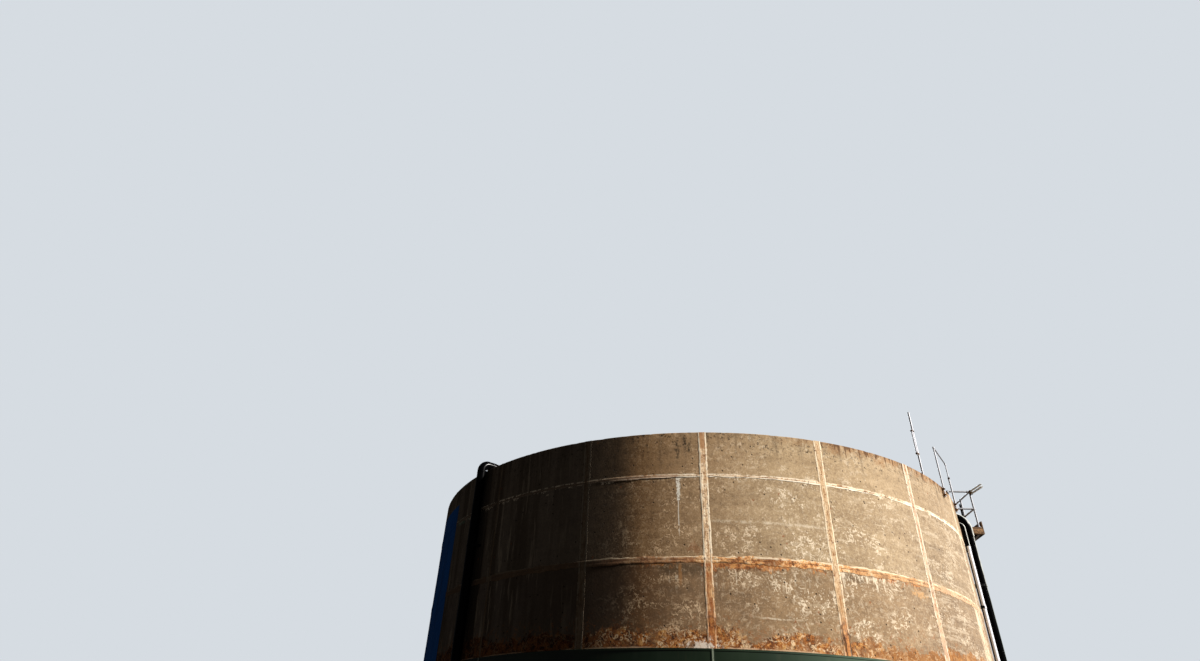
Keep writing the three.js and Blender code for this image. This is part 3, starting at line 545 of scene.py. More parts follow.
def mortar():
    """Strips and bands over the joints: pale crisp edges, a browner middle, rust at the lower joint."""
    g = Graph("mortar", roughness=0.9, specular=0.25)
    wall = WallCoords(g)
    rough = g.noise(9.0, 6, 0.78)
    stripes = g.noise(30.0, 3, 0.65, at=g.vector(wall.along, wall.z * 0.06, 0.0))
    colour = g.ramp(stripes * 0.7 + rough * 0.3, [
        (0.38, srgb(150, 112, 76)), (0.46, srgb(190, 154, 114)), (0.53, srgb(212, 182, 144)), (0.62, srgb(236, 216, 184)),
    ])
    colour = g.mix(g.step(rough, 0.53, 0.57) * 0.45, colour, PALE_MORTAR)
    colour = g.mix(g.band(wall.deg, -97.0, -84.0, 3.0), colour, srgb(207, 203, 197), "DIVIDE")

    # Crisp pale lines down both edges of a strip, with a dark crack inside them
    across = wall.from_joint + (g.noise(5.0, 5, 0.7) - 0.5) * 0.040
    edges = g.band(across, 0.052, 0.090, 0.006)
    worn = g.step(wall.z, 5.0, 5.6) * 0.10
    colour = g.mix(edges * g.step(g.noise(4.5, 5, 0.7) + worn, 0.46, 0.54) * 0.92, colour, srgb(252, 236, 208))
    crack = (1.0 - g.step(abs(across - 0.044), 0.003, 0.008)) * g.step(g.noise(4.0, 3), 0.48, 0.54)
    colour = g.mix(crack * 0.6, colour, DARK_RUST)
    marks = g.step(g.noise(6.0, 4, 0.7, at=g.vector(wall.along, wall.z * 0.30, 0.0)), 0.54, 0.58)
    paler_strip = g.band(wall.deg, -75.0, -62.0, 3.0)
    marks = marks * (1.0 - g.step(across + paler_strip * 0.012, 0.020, 0.036)) * g.band(wall.deg, -96.0, -35.0, 3.0)
    colour = g.mix(marks * 0.42, colour, srgb(172, 118, 70))

    # Rust dots all along, and much more under the lower joint
    colour = g.mix(g.step(wall.deg, -82.0, -64.0) * 0.5, colour, srgb(232, 222, 214), "MULTIPLY")
    colour = g.mix(g.step(wall.deg, -64.0, -48.0) * 0.40, colour, srgb(216, 202, 184))
    chain = g.step(g.noise(15.0, 4, 0.8, at=g.vector(wall.along, wall.z * 0.7, 6.0)), 0.520, 0.555)
    colour = g.mix(paler_strip * 0.24, colour, srgb(228, 202, 160))
    chain = chain * (1.0 - g.step(across + paler_strip * 0.012, 0.026, 0.040)) * g.step(wall.z, 4.3, 4.8)
    colour = g.mix(chain * 0.66, colour, srgb(144, 92, 48))
    thin_rust = (1.0 - g.step(across, 0.008, 0.018)) * g.step(g.noise(3.4, 5, 0.78), 0.535, 0.560)
    thin_rust = thin_rust * g.band(wall.deg, -75.0, -33.0, 3.0)
    colour = g.mix(thin_rust * 0.72, colour, srgb(142, 92, 42))
    dots = g.step(g.noise(13.0, 4, 0.80), 0.590, 0.625)
    colour = g.mix(dots * 0.85, colour, srgb(104, 56, 28))
    low = 1.0 - g.step(wall.z, LOWER_BAND_Z - 0.10, LOWER_BAND_Z + 0.05)
    sunny = g.band(wall.deg, -97.0, -82.0, 4.0)
    patch = g.step(g.noise(4.2, 6, 0.78), 0.44, 0.56)
    stained = g.mix(patch, srgb(226, 174, 116), srgb(178, 106, 54))
    share = low * (0.20 + sunny * 0.60) * g.step(g.noise(2.4, 5, 0.7), 0.40, 0.50) * (1.0 - edges * 0.6)
    colour = g.mix(share, colour, stained)
    blots = g.step(g.noise(9.0, 5, 0.85, at=g.vector(wall.along, wall.z * 0.5, 3.0)), 0.555, 0.590)
    colour = g.mix(blots * low * (0.25 + sunny * 0.60), colour, srgb(82, 44, 22))

    # Rust at the foot of the strips, with dark runs
    foot_rust = 1.0 - g.step(wall.z + (g.noise(4.0, 5, 0.7) - 0.5) * 0.9, 4.20, 4.70)
    foot_rust = foot_rust * g.band(wall.deg, -96.0, -62.0, 3.0)
    foot_tone = g.ramp(g.noise(11.0, 6, 0.85), [
        (0.42, srgb(96, 50, 22)), (0.49, srgb(164, 92, 38)), (0.57, srgb(206, 140, 76)),
    ])
    colour = g.mix(foot_rust * (1.0 - edges * 0.4) * 0.86, colour, foot_tone)
    soot_run = foot_rust * g.step(g.noise(18.0, 3, 0.6, at=g.vector(wall.along, wall.z * 0.10, 0.0)), 0.56, 0.60)
    colour = g.mix(soot_run * 0.80, colour, srgb(50, 30, 18))

    # The upper band: a white lower line, a broken upper line, brown dots between them
    upper = g.band(wall.z, UPPER_BAND_Z - 0.045, UPPER_BAND_Z + 0.045, 0.008)
    away = g.step(wall.from_joint, 0.06, 0.09)
    upper = upper * away
    off_middle = wall.z - UPPER_BAND_Z + (g.noise(4.0, 4, 0.7) - 0.5) * 0.03
    colour = g.mix(upper * 0.70, colour, g.ramp(g.noise(8.0, 5, 0.85), [
        (0.42, srgb(128, 84, 50)), (0.49, srgb(206, 166, 124)), (0.56, srgb(246, 226, 194)),
    ]))
    low_line = g.band(off_middle, -0.034, -0.008, 0.005)
    top_line = g.band(off_middle, 0.014, 0.030, 0.004) * g.step(g.noise(3.0, 5, 0.75), 0.45, 0.49)
    colour = g.mix(upper * g.largest(low_line, top_line * 0.8) * 0.88, colour, srgb(255, 244, 222))
    colour = g.mix(upper * dots * 0.85, colour, srgb(86, 52, 30))
    colour = g.mix(upper * (1.0 - g.step(wall.deg, -94.6, -94.0)) * 0.5, colour, srgb(190, 142, 106))

    # Rust that has run down the middle strip from the lower band
    run = g.step(g.noise(5.0, 5, 0.75, at=g.vector(wall.along * 2.6, wall.z * 0.7, 8.0)), 0.46, 0.54)
    run = run * (1.0 - g.step(wall.z, 5.28, 5.36)) * g.band(wall.deg, -91.5, -88.5, 0.5) * (1.0 - edges)
    colour = g.mix(run * 0.62, colour, srgb(162, 92, 42))

    # The broad rusty lower band: dark patches, a pale lip and a crack along its middle
    lower = g.band(wall.z, LOWER_BAND_Z - 0.09, LOWER_BAND_Z + 0.09, 0.012)
    rust = g.ramp(g.noise(4.6, 7, 0.90), [
        (0.40, srgb(104, 56, 26)), (0.46, srgb(192, 120, 60)), (0.52, srgb(236, 174, 106)), (0.58, srgb(255, 230, 190)),
    ])
    rust = g.mix(g.step(wall.deg, -74.0, -60.0) * 0.60, rust, srgb(180, 144, 106))
    colour = g.mix(lower * away * (0.46 + g.band(wall.deg, -94.0, -50.0, 6.0) * 0.46), colour, rust)
    left_rust = (1.0 - g.step(wall.deg, -92.5, -91.0)) * (0.45 + patch * 0.40)
    colour = g.mix(lower * away * left_rust, colour, srgb(150, 96, 58))
    dark_stretch = g.band(wall.deg, -86.5, -79.0, 1.2) * g.step(g.noise(3.0, 6, 0.75), 0.46, 0.54)
    colour = g.mix(lower * away * dark_stretch * 0.7, colour, srgb(98, 50, 24))
    colour = g.mix(lower * away * dots * 0.8, colour, srgb(74, 40, 20))
    lip = g.band(wall.z + (g.noise(6.0, 5, 0.7) - 0.5) * 0.06, LOWER_BAND_Z + 0.040, LOWER_BAND_Z + 0.08, 0.006)
    colour = g.mix(lip * away * g.step(g.noise(4.0, 5, 0.7), 0.42, 0.50) * 0.9, colour, PALE_MORTAR)
    seam = 1.0 - g.step(abs(wall.z - LOWER_BAND_Z + (g.noise(3.0, 4) - 0.5) * 0.05), 0.003, 0.010)
    colour = g.mix(seam * away * g.step(g.noise(5.0, 4), 0.44, 0.52) * 0.7, colour, DARK_RUST)
    groove = g.step(wall.z, 7.60, 7.66) * g.band(wall.deg, -92.0, -88.0, 0.5) * (1.0 - edges)
    colour = g.mix(groove * 0.80, colour, srgb(186, 134, 88))
    # Painted shade: strips and bands are darkened on the side away from the sun.
    colour = g.mix((1.0 - g.step(wall.deg, -108.5, -98.0)) * 0.82, colour, srgb(82, 70, 58))
    colour = splash(g, wall, colour, *SPLASHES[0])
    gap = g.band(wall.deg, -69.52, -69.38, 0.03) * (1.0 - g.step(wall.z, 4.20, 4.26))
    colour = g.mix(gap * 0.9, colour, srgb(24, 16, 10))
    colour, _ = painted_field(g, wall, colour)
    g.colour(colour)
    g.relief(rough * 0.006 + g.noise(30.0, 4, 0.7) * 0.002 - crack * 0.004)
    return g.material


# Materials of the metal, plastic and timber pieces

def green_steel():
    g = Graph("green_steel", metallic=0.0, roughness=0.28, specular=0.5)
    wall = WallCoords(g)
    colour = g.ramp(g.noise(0.8, 5, 0.6), [(0.35, srgb(18, 30, 20)), (0.52, srgb(25, 38, 25)), (0.68, srgb(33, 47, 32))])
    # Painted reflection: the paint is lighter and more teal from -78° round to 60°.
    painted_sheen = g.band(wall.deg, -78.0, 60.0, 12.0)
    colour = g.mix(painted_sheen * 0.32, colour, srgb(104, 134, 108))
    below = JACKET_TOP - wall.z
    runs = g.step(g.noise(4.5, 5, 0.6, at=wall.streaky), 0.58, 0.78)
    colour = g.mix(runs * 0.06, colour, srgb(84, 96, 80))
    turn = (wall.deg - FIRST_JOINT_DEG) * JACKET_PLATES / 360 + 100.5
    from_seam = abs(g.math("FRACT", turn) - 0.5) * (2 * math.pi * OUTER_R / JACKET_PLATES)
    colour = g.mix((1.0 - g.step(from_seam, 0.010, 0.018)) * 0.8, colour, srgb(150, 160, 140))
    drip = g.step(g.noise(6.0, 4, 0.6, at=wall.streaky) - below * 0.16, 0.58, 0.66) * g.step(below, 0.02, 0.10)
    colour = g.mix(drip * 0.06, colour, srgb(104, 82, 56))
    base = 1.0 - g.step(wall.z + (g.noise(3.0, 5) - 0.5) * 0.4, 0.10, 0.45)
    colour = g.mix(base * 0.55, colour, srgb(104, 98, 80))
    chips = g.step(g.noise(22.0, 5, 0.75), 0.70, 0.73)
    colour = g.mix(chips, colour, srgb(92, 56, 34))
    g.colour(colour)
    g.roughness(g.limit(0.24 + g.noise(2.5, 4) * 0.14 + runs * 0.02 + drip * 0.03 + base * 0.35 + chips * 0.3))
    g.relief(g.noise(0.9, 3) * 0.006 + g.noise(40.0, 3) * 0.0003)
    return g.material


def black_pipe(name, roughness, specular, glint_pipe=None):
    """Black paint, with a painted highlight down the outer side of the pipe that faces the sun."""
    g = Graph(name, roughness=roughness, specular=specular)
    dust = g.step(g.noise(3.0, 6, 0.7, at=g.vector(g.x, g.y, g.z * 0.12)), 0.52, 0.78)
    colour = g.mix(dust * 0.10, srgb(4, 4, 5), srgb(58, 54, 48))
    if glint_pipe:
        turn = math.radians(glint_pipe["deg"])
        outward = g.x * math.cos(turn) + g.y * math.sin(turn)
        radius, bend_low = glint_pipe["bend_r"], glint_pipe["top"] - glint_pipe["bend_r"]
        rise = g.largest(g.z - bend_low, 0.0)
        reach = outward - (glint_pipe["x"] - radius)
        outer = (g.math("SQRT", reach * reach + rise * rise) - radius) / (glint_pipe["bend_od"] / 2)
        paler = g.step(g.z, 5.2, 7.3)
        streaks = g.noise(9.0, 5, 0.80, at=g.vector(g.x, g.y, g.z * 0.14))
        # Painted highlight along the outer side, whiter on the bend and the upper riser.
        painted_glint = g.step(outer + paler * 0.12 + (streaks - 0.5) * 0.34, 0.72, 0.80)
        painted_glint = painted_glint * (0.62 + g.step(g.noise(7.0, 6, 0.80), 0.42, 0.54) * 0.36)
        colour = g.mix(painted_glint, colour, g.mix(paler, srgb(116, 122, 110), srgb(204, 206, 200)))
    foot = 1.0 - g.step(g.z + (g.noise(4.0, 4) - 0.5) * 0.3, 0.05, 0.40)
    g.colour(g.mix(foot * 0.55, colour, srgb(94, 84, 68)))
    g.roughness(g.limit(roughness + dust * 0.12 + foot * 0.4))
    g.relief(g.noise(50.0, 3) * 0.0002 + g.noise(3.0, 3) * 0.001)
    return g.material


def white_pipe():
    g = Graph("white_pipe", roughness=0.4, specular=0.5)
    grime = g.step(g.noise(4.0, 6, 0.7, at=g.vector(g.x, g.y, g.z * 0.10)), 0.46, 0.70)
    colour = g.mix(grime * 0.30, srgb(244, 246, 255), srgb(206, 202, 206))
    foot = 1.0 - g.step(g.z + (g.noise(5.0, 4) - 0.5) * 0.4, 0.05, 0.45)
    colour = g.mix(foot * 0.6, colour, srgb(120, 106, 82))
    turn = math.radians(SMALL_PIPE["deg"])
    from_x, from_y = g.x - SMALL_PIPE["x"] * math.cos(turn), g.y - SMALL_PIPE["x"] * math.sin(turn)
    facing = g.math("ARCTAN2", from_y, from_x) * math.degrees(1) + (g.noise(8.0, 3) - 0.5) * 16.0
    shaded = 1.0 - g.band(facing, -133.0, 150.0, 4.0)
    near_pipe = 1.0 - g.step(abs(from_x), 0.08, 0.10)
    g.colour(g.mix(shaded * near_pipe * 0.97, colour, srgb(20, 17, 15)))
    g.roughness(g.limit(0.36 + grime * 0.25 + foot * 0.3))
    g.relief(g.noise(40.0, 3) * 0.0003)
    return g.material


def rusty_steel(name="rusty_steel", shade_share=0.0):
    g = Graph(name, metallic=0.2, roughness=0.8, specular=0.3)
    scale = g.noise(14.0, 7, 0.75)
    colour = g.ramp(scale, [
        (0.34, srgb(48, 34, 24)), (0.46, srgb(104, 76, 50)), (0.56, srgb(144, 108, 70)), (0.70, srgb(178, 142, 100)),
    ])
    paint = g.step(g.noise(5.0, 6, 0.75), 0.54, 0.60)
    colour = g.mix(paint * 0.60, colour, srgb(92, 80, 66))
    # Painted shade: a share of near-black over the whole material, for pieces that stand in shadow.
    g.colour(g.mix(shade_share, colour, srgb(16, 12, 10)))
    g.roughness(0.86 - paint * 0.25)
    g.relief(scale * 0.0016 + g.noise(80.0, 4, 0.7) * 0.0005)
    return g.material


def galvanised(name, grime):
    g = Graph(name, metallic=0.2, roughness=0.42)
    _, spangle = g.cells(70.0)
    colour = g.mix(spangle, srgb(196, 198, 206), srgb(226, 228, 234))
    dull = g.step(g.noise(7.0, 6, 0.7), 0.50, 0.70)
    colour = g.mix(dull * 0.4, colour, srgb(160, 158, 156))
    colour = g.mix(grime, colour, srgb(72, 62, 60))
    rust = g.step(g.noise(16.0, 6, 0.75), 0.62, 0.70)
    g.colour(g.mix(rust * 0.65, colour, srgb(120, 80, 54)))
    g.metallic(0.30 - rust * 0.25 - dull * 0.1)
    g.roughness(g.limit(0.34 + spangle * 0.12 + dull * 0.25 + rust * 0.3))
    g.relief(spangle * 0.00008 + rust * 0.0003)
    return g.material


def timber(name, along_x):
    """Weathered boards with their grain along x or along y."""
    g = Graph(name, roughness=0.85, specular=0.25)
    across_x, across_y = (0.9, 12.0) if along_x else (12.0, 0.9)
    stretched = g.vector(g.x * across_x, g.y * across_y, g.z * 12.0)
    grain = g.noise(5.0, 6, 0.65, bend=0.4, at=stretched)
    colour = g.ramp(grain, [
        (0.34, srgb(62, 42, 26)), (0.48, srgb(112, 82, 54)), (0.60, srgb(146, 112, 78)), (0.72, srgb(176, 148, 112)),
    ])
    damp = g.step(g.noise(3.0, 5, 0.6), 0.48, 0.66)
    colour = g.mix(damp * 0.5, colour, srgb(70, 52, 38))
    cracks = 1.0 - g.step(abs(g.noise(3.2, 4, 0.6, at=stretched) - 0.5), 0.002, 0.012)
    colour = g.mix(cracks * 0.7, colour, srgb(28, 20, 14))
    # Painted shade on the underside of the boards.
    underside_shade = 1.0 - g.step(g.z, DECK_TOP - DECK_T + 0.001, DECK_TOP - DECK_T + 0.004)
    g.colour(g.mix(underside_shade * 0.9, colour, srgb(14, 11, 9)))
    g.relief(grain * 0.0018 - cracks * 0.0015)
    return g.material


def white_tube():
    g = Graph("white_tube", roughness=0.45, specular=0.5)
    chips = g.step(g.noise(18.0, 6, 0.75), 0.64, 0.69)
    colour = g.mix(g.noise(4.0, 5), srgb(238, 238, 236), srgb(252, 252, 250))
    g.colour(g.mix(chips * 0.6, colour, srgb(126, 106, 88)))
    g.roughness(0.4 + chips * 0.4)
    g.relief(g.noise(60.0, 3) * 0.0002 - chips * 0.0003)
    return g.material


CONCRETE_OUTER = concrete_outer()
CONCRETE_INNER = concrete_inner()
CONCRETE_FLOOR = concrete_floor()
MORTAR = mortar()
GREEN_STEEL = green_steel()
BLACK_PIPE = black_pipe("black_pipe", 0.20, 0.06)
RIGHT_BLACK = black_pipe("black_pipe_right", 0.24, 0.05, RIGHT_PIPE)
SMALL_BLACK = black_pipe("black_pipe_small", 0.24, 0.05, SMALL_PIPE)
CLAMP_STEEL = black_pipe("clamp_steel", 0.70, 0.15)
WHITE_PIPE = white_pipe()
RUSTY_STEEL = rusty_steel()
# Rusty steel painted almost black as shade.
SHADED_STEEL = rusty_steel("shaded_steel", 0.92)
GALVANISED = galvanised("galvanised", 0.38)
DULL_TUBE = galvanised("galvanised_dull", 0.30)
TIMBER = timber("timber_deck", True)
TIMBER_TOE = timber("timber_toe", False)
WHITE_TUBE = white_tube()


# Mesh building

def around(radius, deg, z):
    turn = math.radians(deg)
    return Vector((radius * math.cos(turn), radius * math.sin(turn), z))


def rippled(x, y, z, scale, amount):
    """A repeatable small offset from place alone."""
    return noise.fractal(Vector((x, y, z)) * scale, 1.0, 2.0, 4) * amount


def spread(low, high, count):
    return [low + (high - low) * i / count for i in range(count + 1)]


def basis(axis):
    """Two unit vectors square to an axis."""
    axis = Vector(axis).normalized()
    helper = Vector((0, 0, 1)) if abs(axis.z) < 0.9 else Vector((1, 0, 0))
    side = axis.cross(helper).normalized()
    return axis, side, axis.cross(side)


class Piece:
    """Collects closed shells and turns them into one object that rides on the frame."""

    def __init__(self, turn=0.0, shift=0.0):
        self.points = []
        self.faces = []
        self.slots = []
        self.turn = Matrix.Rotation(math.radians(turn), 3, "Z")
        self.shift = Vector((0.0, shift, 0.0))

    def add(self, points, faces, slot=0):
        start = len(self.points)
        self.points.extend(tuple(self.turn @ (Vector(point) + self.shift)) for point in points)
        self.faces.extend([start + i for i in face] for face in faces)
        self.slots.extend([slot] * len(faces))

    def loft(self, rings, closed=False, slot=0, slot_of=None):
        """A shell through rings of points. slot_of picks a material from the ring and the index along it."""
        count = len(rings[0])
        start = len(self.points)
        self.points.extend(tuple(self.turn @ (Vector(point) + self.shift)) for ring in rings for point in ring)
        for i in range(len(rings) if closed else len(rings) - 1):
            here = start + i * count
            there = start + ((i + 1) % len(rings)) * count
            for j in range(count):
                k = (j + 1) % count
                self.faces.append([here + j, here + k, there + k, there + j])
                self.slots.append(slot_of(i, j) if slot_of else slot)
        if not closed:
            self.faces.append([start + j for j in reversed(range(count))])
            self.faces.append([start + (len(rings) - 1) * count + j for j in range(count)])
            self.slots.extend([slot, slot])

    def tube(self, path, radius, sides=24, bore=None, slot=0):
        """A round tube along a path. bore is (wall, depth) of the open far end."""
        path = [Vector(point) for point in path]
        radii = radius if isinstance(radius, (list, tuple)) else [radius] * len(path)
        first = (path[1] - path[0]).normalized()
        _, side, _ = basis(first)
        rings = []
        for i, point in enumerate(path):
            before, after = path[max(i - 1, 0)], path[min(i + 1, len(path) - 1)]
            along = (after - before).normalized()
            side = (side - along * side.dot(along)).normalized()
            other = along.cross(side)
            rings.append((point, side.copy(), other, radii[i]))
        if bore:
            wall, depth = bore
            point, side, other, size = rings[-1]
            inward = (path[-2] - path[-1]).normalized()
            rings.append((point, side, other, size - wall))
            rings.append((point + inward * depth, side, other, size - wall))
        angles = [2 * math.pi * j / sides for j in range(sides)]
        self.loft([
            [point + (side * math.cos(a) + other * math.sin(a)) * size for a in angles]
            for point, side, other, size in rings
        ], slot=slot)

    def disc(self, centre, axis, radius, height, sides=32, edge=0.002, slot=0):
        """A short cylinder that stands on its centre, with a softened top edge."""
        axis, _, _ = basis(axis)
        centre = Vector(centre)
        path = [centre, centre + axis * (height - edge), centre + axis * height]
        self.tube(path, [radius, radius, radius - edge], sides, slot=slot)

    def bolt(self, place, axis, across=0.024, height=0.014, slot=0):
        """A washer with a hexagon head on it."""
        axis, _, _ = basis(axis)
        place = Vector(place)
        self.disc(place, axis, across * 0.85, 0.003, 20, 0.001, slot)
        foot = place + axis * 0.003
        path = [foot, foot + axis * (height - 0.003), foot + axis * height]
        self.tube(path, [across * 0.577, across * 0.577, across * 0.47], 6, slot=slot)

    def block(self, low, high, bevel=0.003, slot=0):
        """A box with bevelled edges."""
        shape = bmesh.new()
        bmesh.ops.create_cube(shape, size=1.0)
        size = [b - a for a, b in zip(low, high)]
        middle = [(a + b) / 2 for a, b in zip(low, high)]
        for vertex in shape.verts:
            vertex.co = Vector(m + s * c for m, s, c in zip(middle, size, vertex.co))
        bmesh.ops.bevel(
            shape, geom=shape.edges[:], offset=min(bevel, min(size) * 0.3), segments=2,
            profile=0.5, affect="EDGES",
        )
        shape.verts.ensure_lookup_table()
        self.add([v.co for v in shape.verts], [[v.index for v in f.verts] for f in shape.faces], slot)
        shape.free()

    def build(self, name, materials, nodes=(), sharp=32):
        mesh = bpy.data.meshes.new(name)
        mesh.from_pydata(self.points, [], self.faces)
        for material in materials:
            mesh.materials.append(material)
        mesh.polygons.foreach_set("material_index", self.slots)
        shape = bmesh.new()
        shape.from_mesh(mesh)
        bmesh.ops.recalc_face_normals(shape, faces=shape.faces[:])
        shape.to_mesh(mesh)
        shape.free()
        mesh.shade_smooth()
        mesh.set_sharp_from_angle(angle=math.radians(sharp))
        piece = bpy.data.objects.new(name, mesh)
        bpy.context.scene.collection.objects.link(piece)
        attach(piece, "root")
        if nodes:
            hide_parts(*nodes)
        return piece


# Concrete wall panels, floor and mortar

PANEL_STEPS = 44
SIDE_GAP_DEG = math.degrees(0.00015 / INNER_R)


def wall_profile(deg):
    """Outline of the wall in one upright section: outer face up, over the rim, inner face down."""
    outer_heights = spread(0.0, 7.6, 60) + spread(7.65, RIM_Z - 0.012, 8)
    inner_heights = list(reversed(spread(0.0, RIM_Z - 0.012, 36)))
    profile = []
    for z in outer_heights:
        x, y, _ = around(OUTER_R, deg, z)
        profile.append((OUTER_R - 0.002 + rippled(x, y, z, 0.9, 0.0025) + rippled(x, y, z, 5.0, 0.0012), z))
    x, y, _ = around(OUTER_R, deg, RIM_Z)
    chip = max(0.0, rippled(x, y, 3.0, 4.0, 1.0) - 0.25) * 0.03
    profile.append((OUTER_R - 0.010 - chip, RIM_Z - 0.002 - chip * 0.4))
    for share in (0.2, 0.5, 0.8):
        radius = OUTER_R - WALL_T * share
        x, y, _ = around(radius, deg, RIM_Z)
        profile.append((radius, RIM_Z - 0.002 + rippled(x, y, RIM_Z, 3.0, 0.0025)))
    profile.append((INNER_R + 0.010, RIM_Z - 0.002))
    for z in inner_heights:
        x, y, _ = around(INNER_R, deg, z)
        profile.append((INNER_R + rippled(x, y, z, 1.1, 0.003), z))
    return profile, len(outer_heights) + 2


def wall_panels():
    for i in range(PANEL_COUNT):
        low = FIRST_JOINT_DEG + i * PANEL_DEG + SIDE_GAP_DEG
        high = FIRST_JOINT_DEG + (i + 1) * PANEL_DEG - SIDE_GAP_DEG
        panel = Piece()
        rings = []
        for deg in spread(low, high, PANEL_STEPS):
            profile, outer_count = wall_profile(deg)
            rings.append([around(radius, deg, z) for radius, z in profile])
        panel.loft(rings, slot_of=lambda i, j: 0 if j < outer_count + 2 else 1)
        number = f"{i + 1:02d}"
        panel.build(
            f"concrete_panel_{number}", [CONCRETE_OUTER, CONCRETE_INNER], [f"wall_panel_{number}"],
        )


def floor_slab():
    slab = Piece()
    radii = [INNER_R - 0.0005] + [INNER_R - 0.03] + list(reversed(spread(0.15, INNER_R - 0.3, 22)))
    degs = spread(0, 360, 144)[:-1]
    rings = [[around(radii[0], deg, 0.0) for deg in degs], [around(radii[0], deg, FLOOR_T - 0.02) for deg in degs]]
    for radius in radii[1:]:
        ring = []
        for deg in degs:
            x, y, _ = around(radius, deg, 0)
            ring.append(around(radius, deg, FLOOR_T - 0.004 + rippled(x, y, 0, 0.6, 0.006)))
        rings.append(ring)
    slab.loft(rings)
    slab.build("concrete_floor", [CONCRETE_FLOOR], ["floor_slab"])


def mortar_strips():
    """Upright strips with ragged edges and a slightly hollow middle."""
    strips = Piece()
    across = (-1.0, -0.90, -0.74, -0.52, -0.25, 0.0, 0.25, 0.52, 0.74, 0.90, 1.0)
    proud = (0.45, 0.72, 1.0, 0.90, 0.82, 0.80, 0.82, 0.90, 1.0, 0.72, 0.45)
    for i in range(PANEL_COUNT):
        deg = FIRST_JOINT_DEG + i * PANEL_DEG
        narrow = i in NARROW_STRIPS
        half = (NARROW_WIDTH if narrow else STRIP_WIDTH) / 2
        full_proud = FLAT_PROUD if i in FLAT_STRIPS else STRIP_PROUD
        rings = []
        for z in spread(JACKET_TOP + 0.002, RIM_Z - 0.004, 92):
            wide = half * (1 + rippled(i * 3.1, 0, z, 2.3, 0.10) + rippled(i * 3.1, 5, z, 9.0, 0.12))
            drift = rippled(i * 2.7, 9, z, 1.1, 0.008)
            ring = []
            for s, p in zip(across, proud):
                lump = rippled(s * 0.6 + i * 5, 2, z, 7.0, 0.0022)
                angle = deg + math.degrees((s * wide + drift) / OUTER_R)
                ring.append(around(OUTER_R + max(0.001, full_proud * p - 0.002 + lump), angle, z))
            ring.append(around(OUTER_R - 0.008, deg + math.degrees(wide * 0.98 / OUTER_R), z))
            ring.append(around(OUTER_R - 0.008, deg - math.degrees(wide * 0.98 / OUTER_R), z))
            rings.append(ring)
        strips.loft(rings)
    strips.build("mortar_strips", [MORTAR], ["joint_bands"])


def mortar_bands():
    """Level bands round the wall at both lift joints."""
    bands = Piece()
    up = (-1.0, -0.85, -0.5, -0.1, 0.1, 0.5, 0.85, 1.0)
    proud = (0.4, 0.8, 0.9, 0.7, 0.7, 0.9, 0.9, 0.4)
    for z, height, ragged in ((UPPER_BAND_Z, UPPER_BAND_H, 0.60), (LOWER_BAND_Z, LOWER_BAND_H, 0.32)):
        rings = []
        for deg in spread(0, 360, 1080)[:-1]:
            x, y, _ = around(1.0, deg, 0)
            half = height / 2 * (1 + rippled(x, y, z, 9.0, ragged) + rippled(x, y, z, 40.0, ragged))
            drift = rippled(x, y, z + 4, 5.0, height * 0.09)
            ring = []
            for s, p in zip(up, proud):
                lump = rippled(x * OUTER_R, y * OUTER_R, s * 0.5 + z, 4.0, 0.0025)
                ring.append(around(OUTER_R + max(0.001, BAND_PROUD * p - 0.001 + lump), deg, z + drift + s * half))
            ring.append(around(OUTER_R - 0.008, deg, z + drift + half * 0.98))
            ring.append(around(OUTER_R - 0.008, deg, z + drift - half * 0.98))
            rings.append(ring)
        bands.loft(rings, closed=True)
    bands.build("mortar_bands", [MORTAR], ["joint_bands"])


# Green jacket

def jacket():
    plate_deg = 360 / JACKET_PLATES
    gap_deg = math.degrees(0.004 / OUTER_R)
    heights = [JACKET_BOTTOM, JACKET_BOTTOM + 0.004] + spread(0.3, 3.6, 12) + [JACKET_TOP - 0.004, JACKET_TOP]
    for i in range(JACKET_PLATES):
        seam = FIRST_JOINT_DEG + i * plate_deg
        plate = Piece()
        rings = []
        for deg in spread(seam + gap_deg, seam + plate_deg - gap_deg, 80):
            ring = []
            for z in heights:
                x, y, _ = around(OUTER_R, deg, z)
                edge = 0.003 if z in (JACKET_BOTTOM, JACKET_TOP) else 0.0
                ring.append(around(OUTER_R + JACKET_T - 0.001 - edge + rippled(x, y, z, 0.5, 0.0012), deg, z))
            for z in (JACKET_TOP, JACKET_BOTTOM):
                ring.append(around(OUTER_R + 0.0005, deg, z))
            rings.append(ring)
        plate.loft(rings)
        plate.build(f"green_plate_{i + 1}", [GREEN_STEEL], [f"jacket_plate_{i + 1}"])


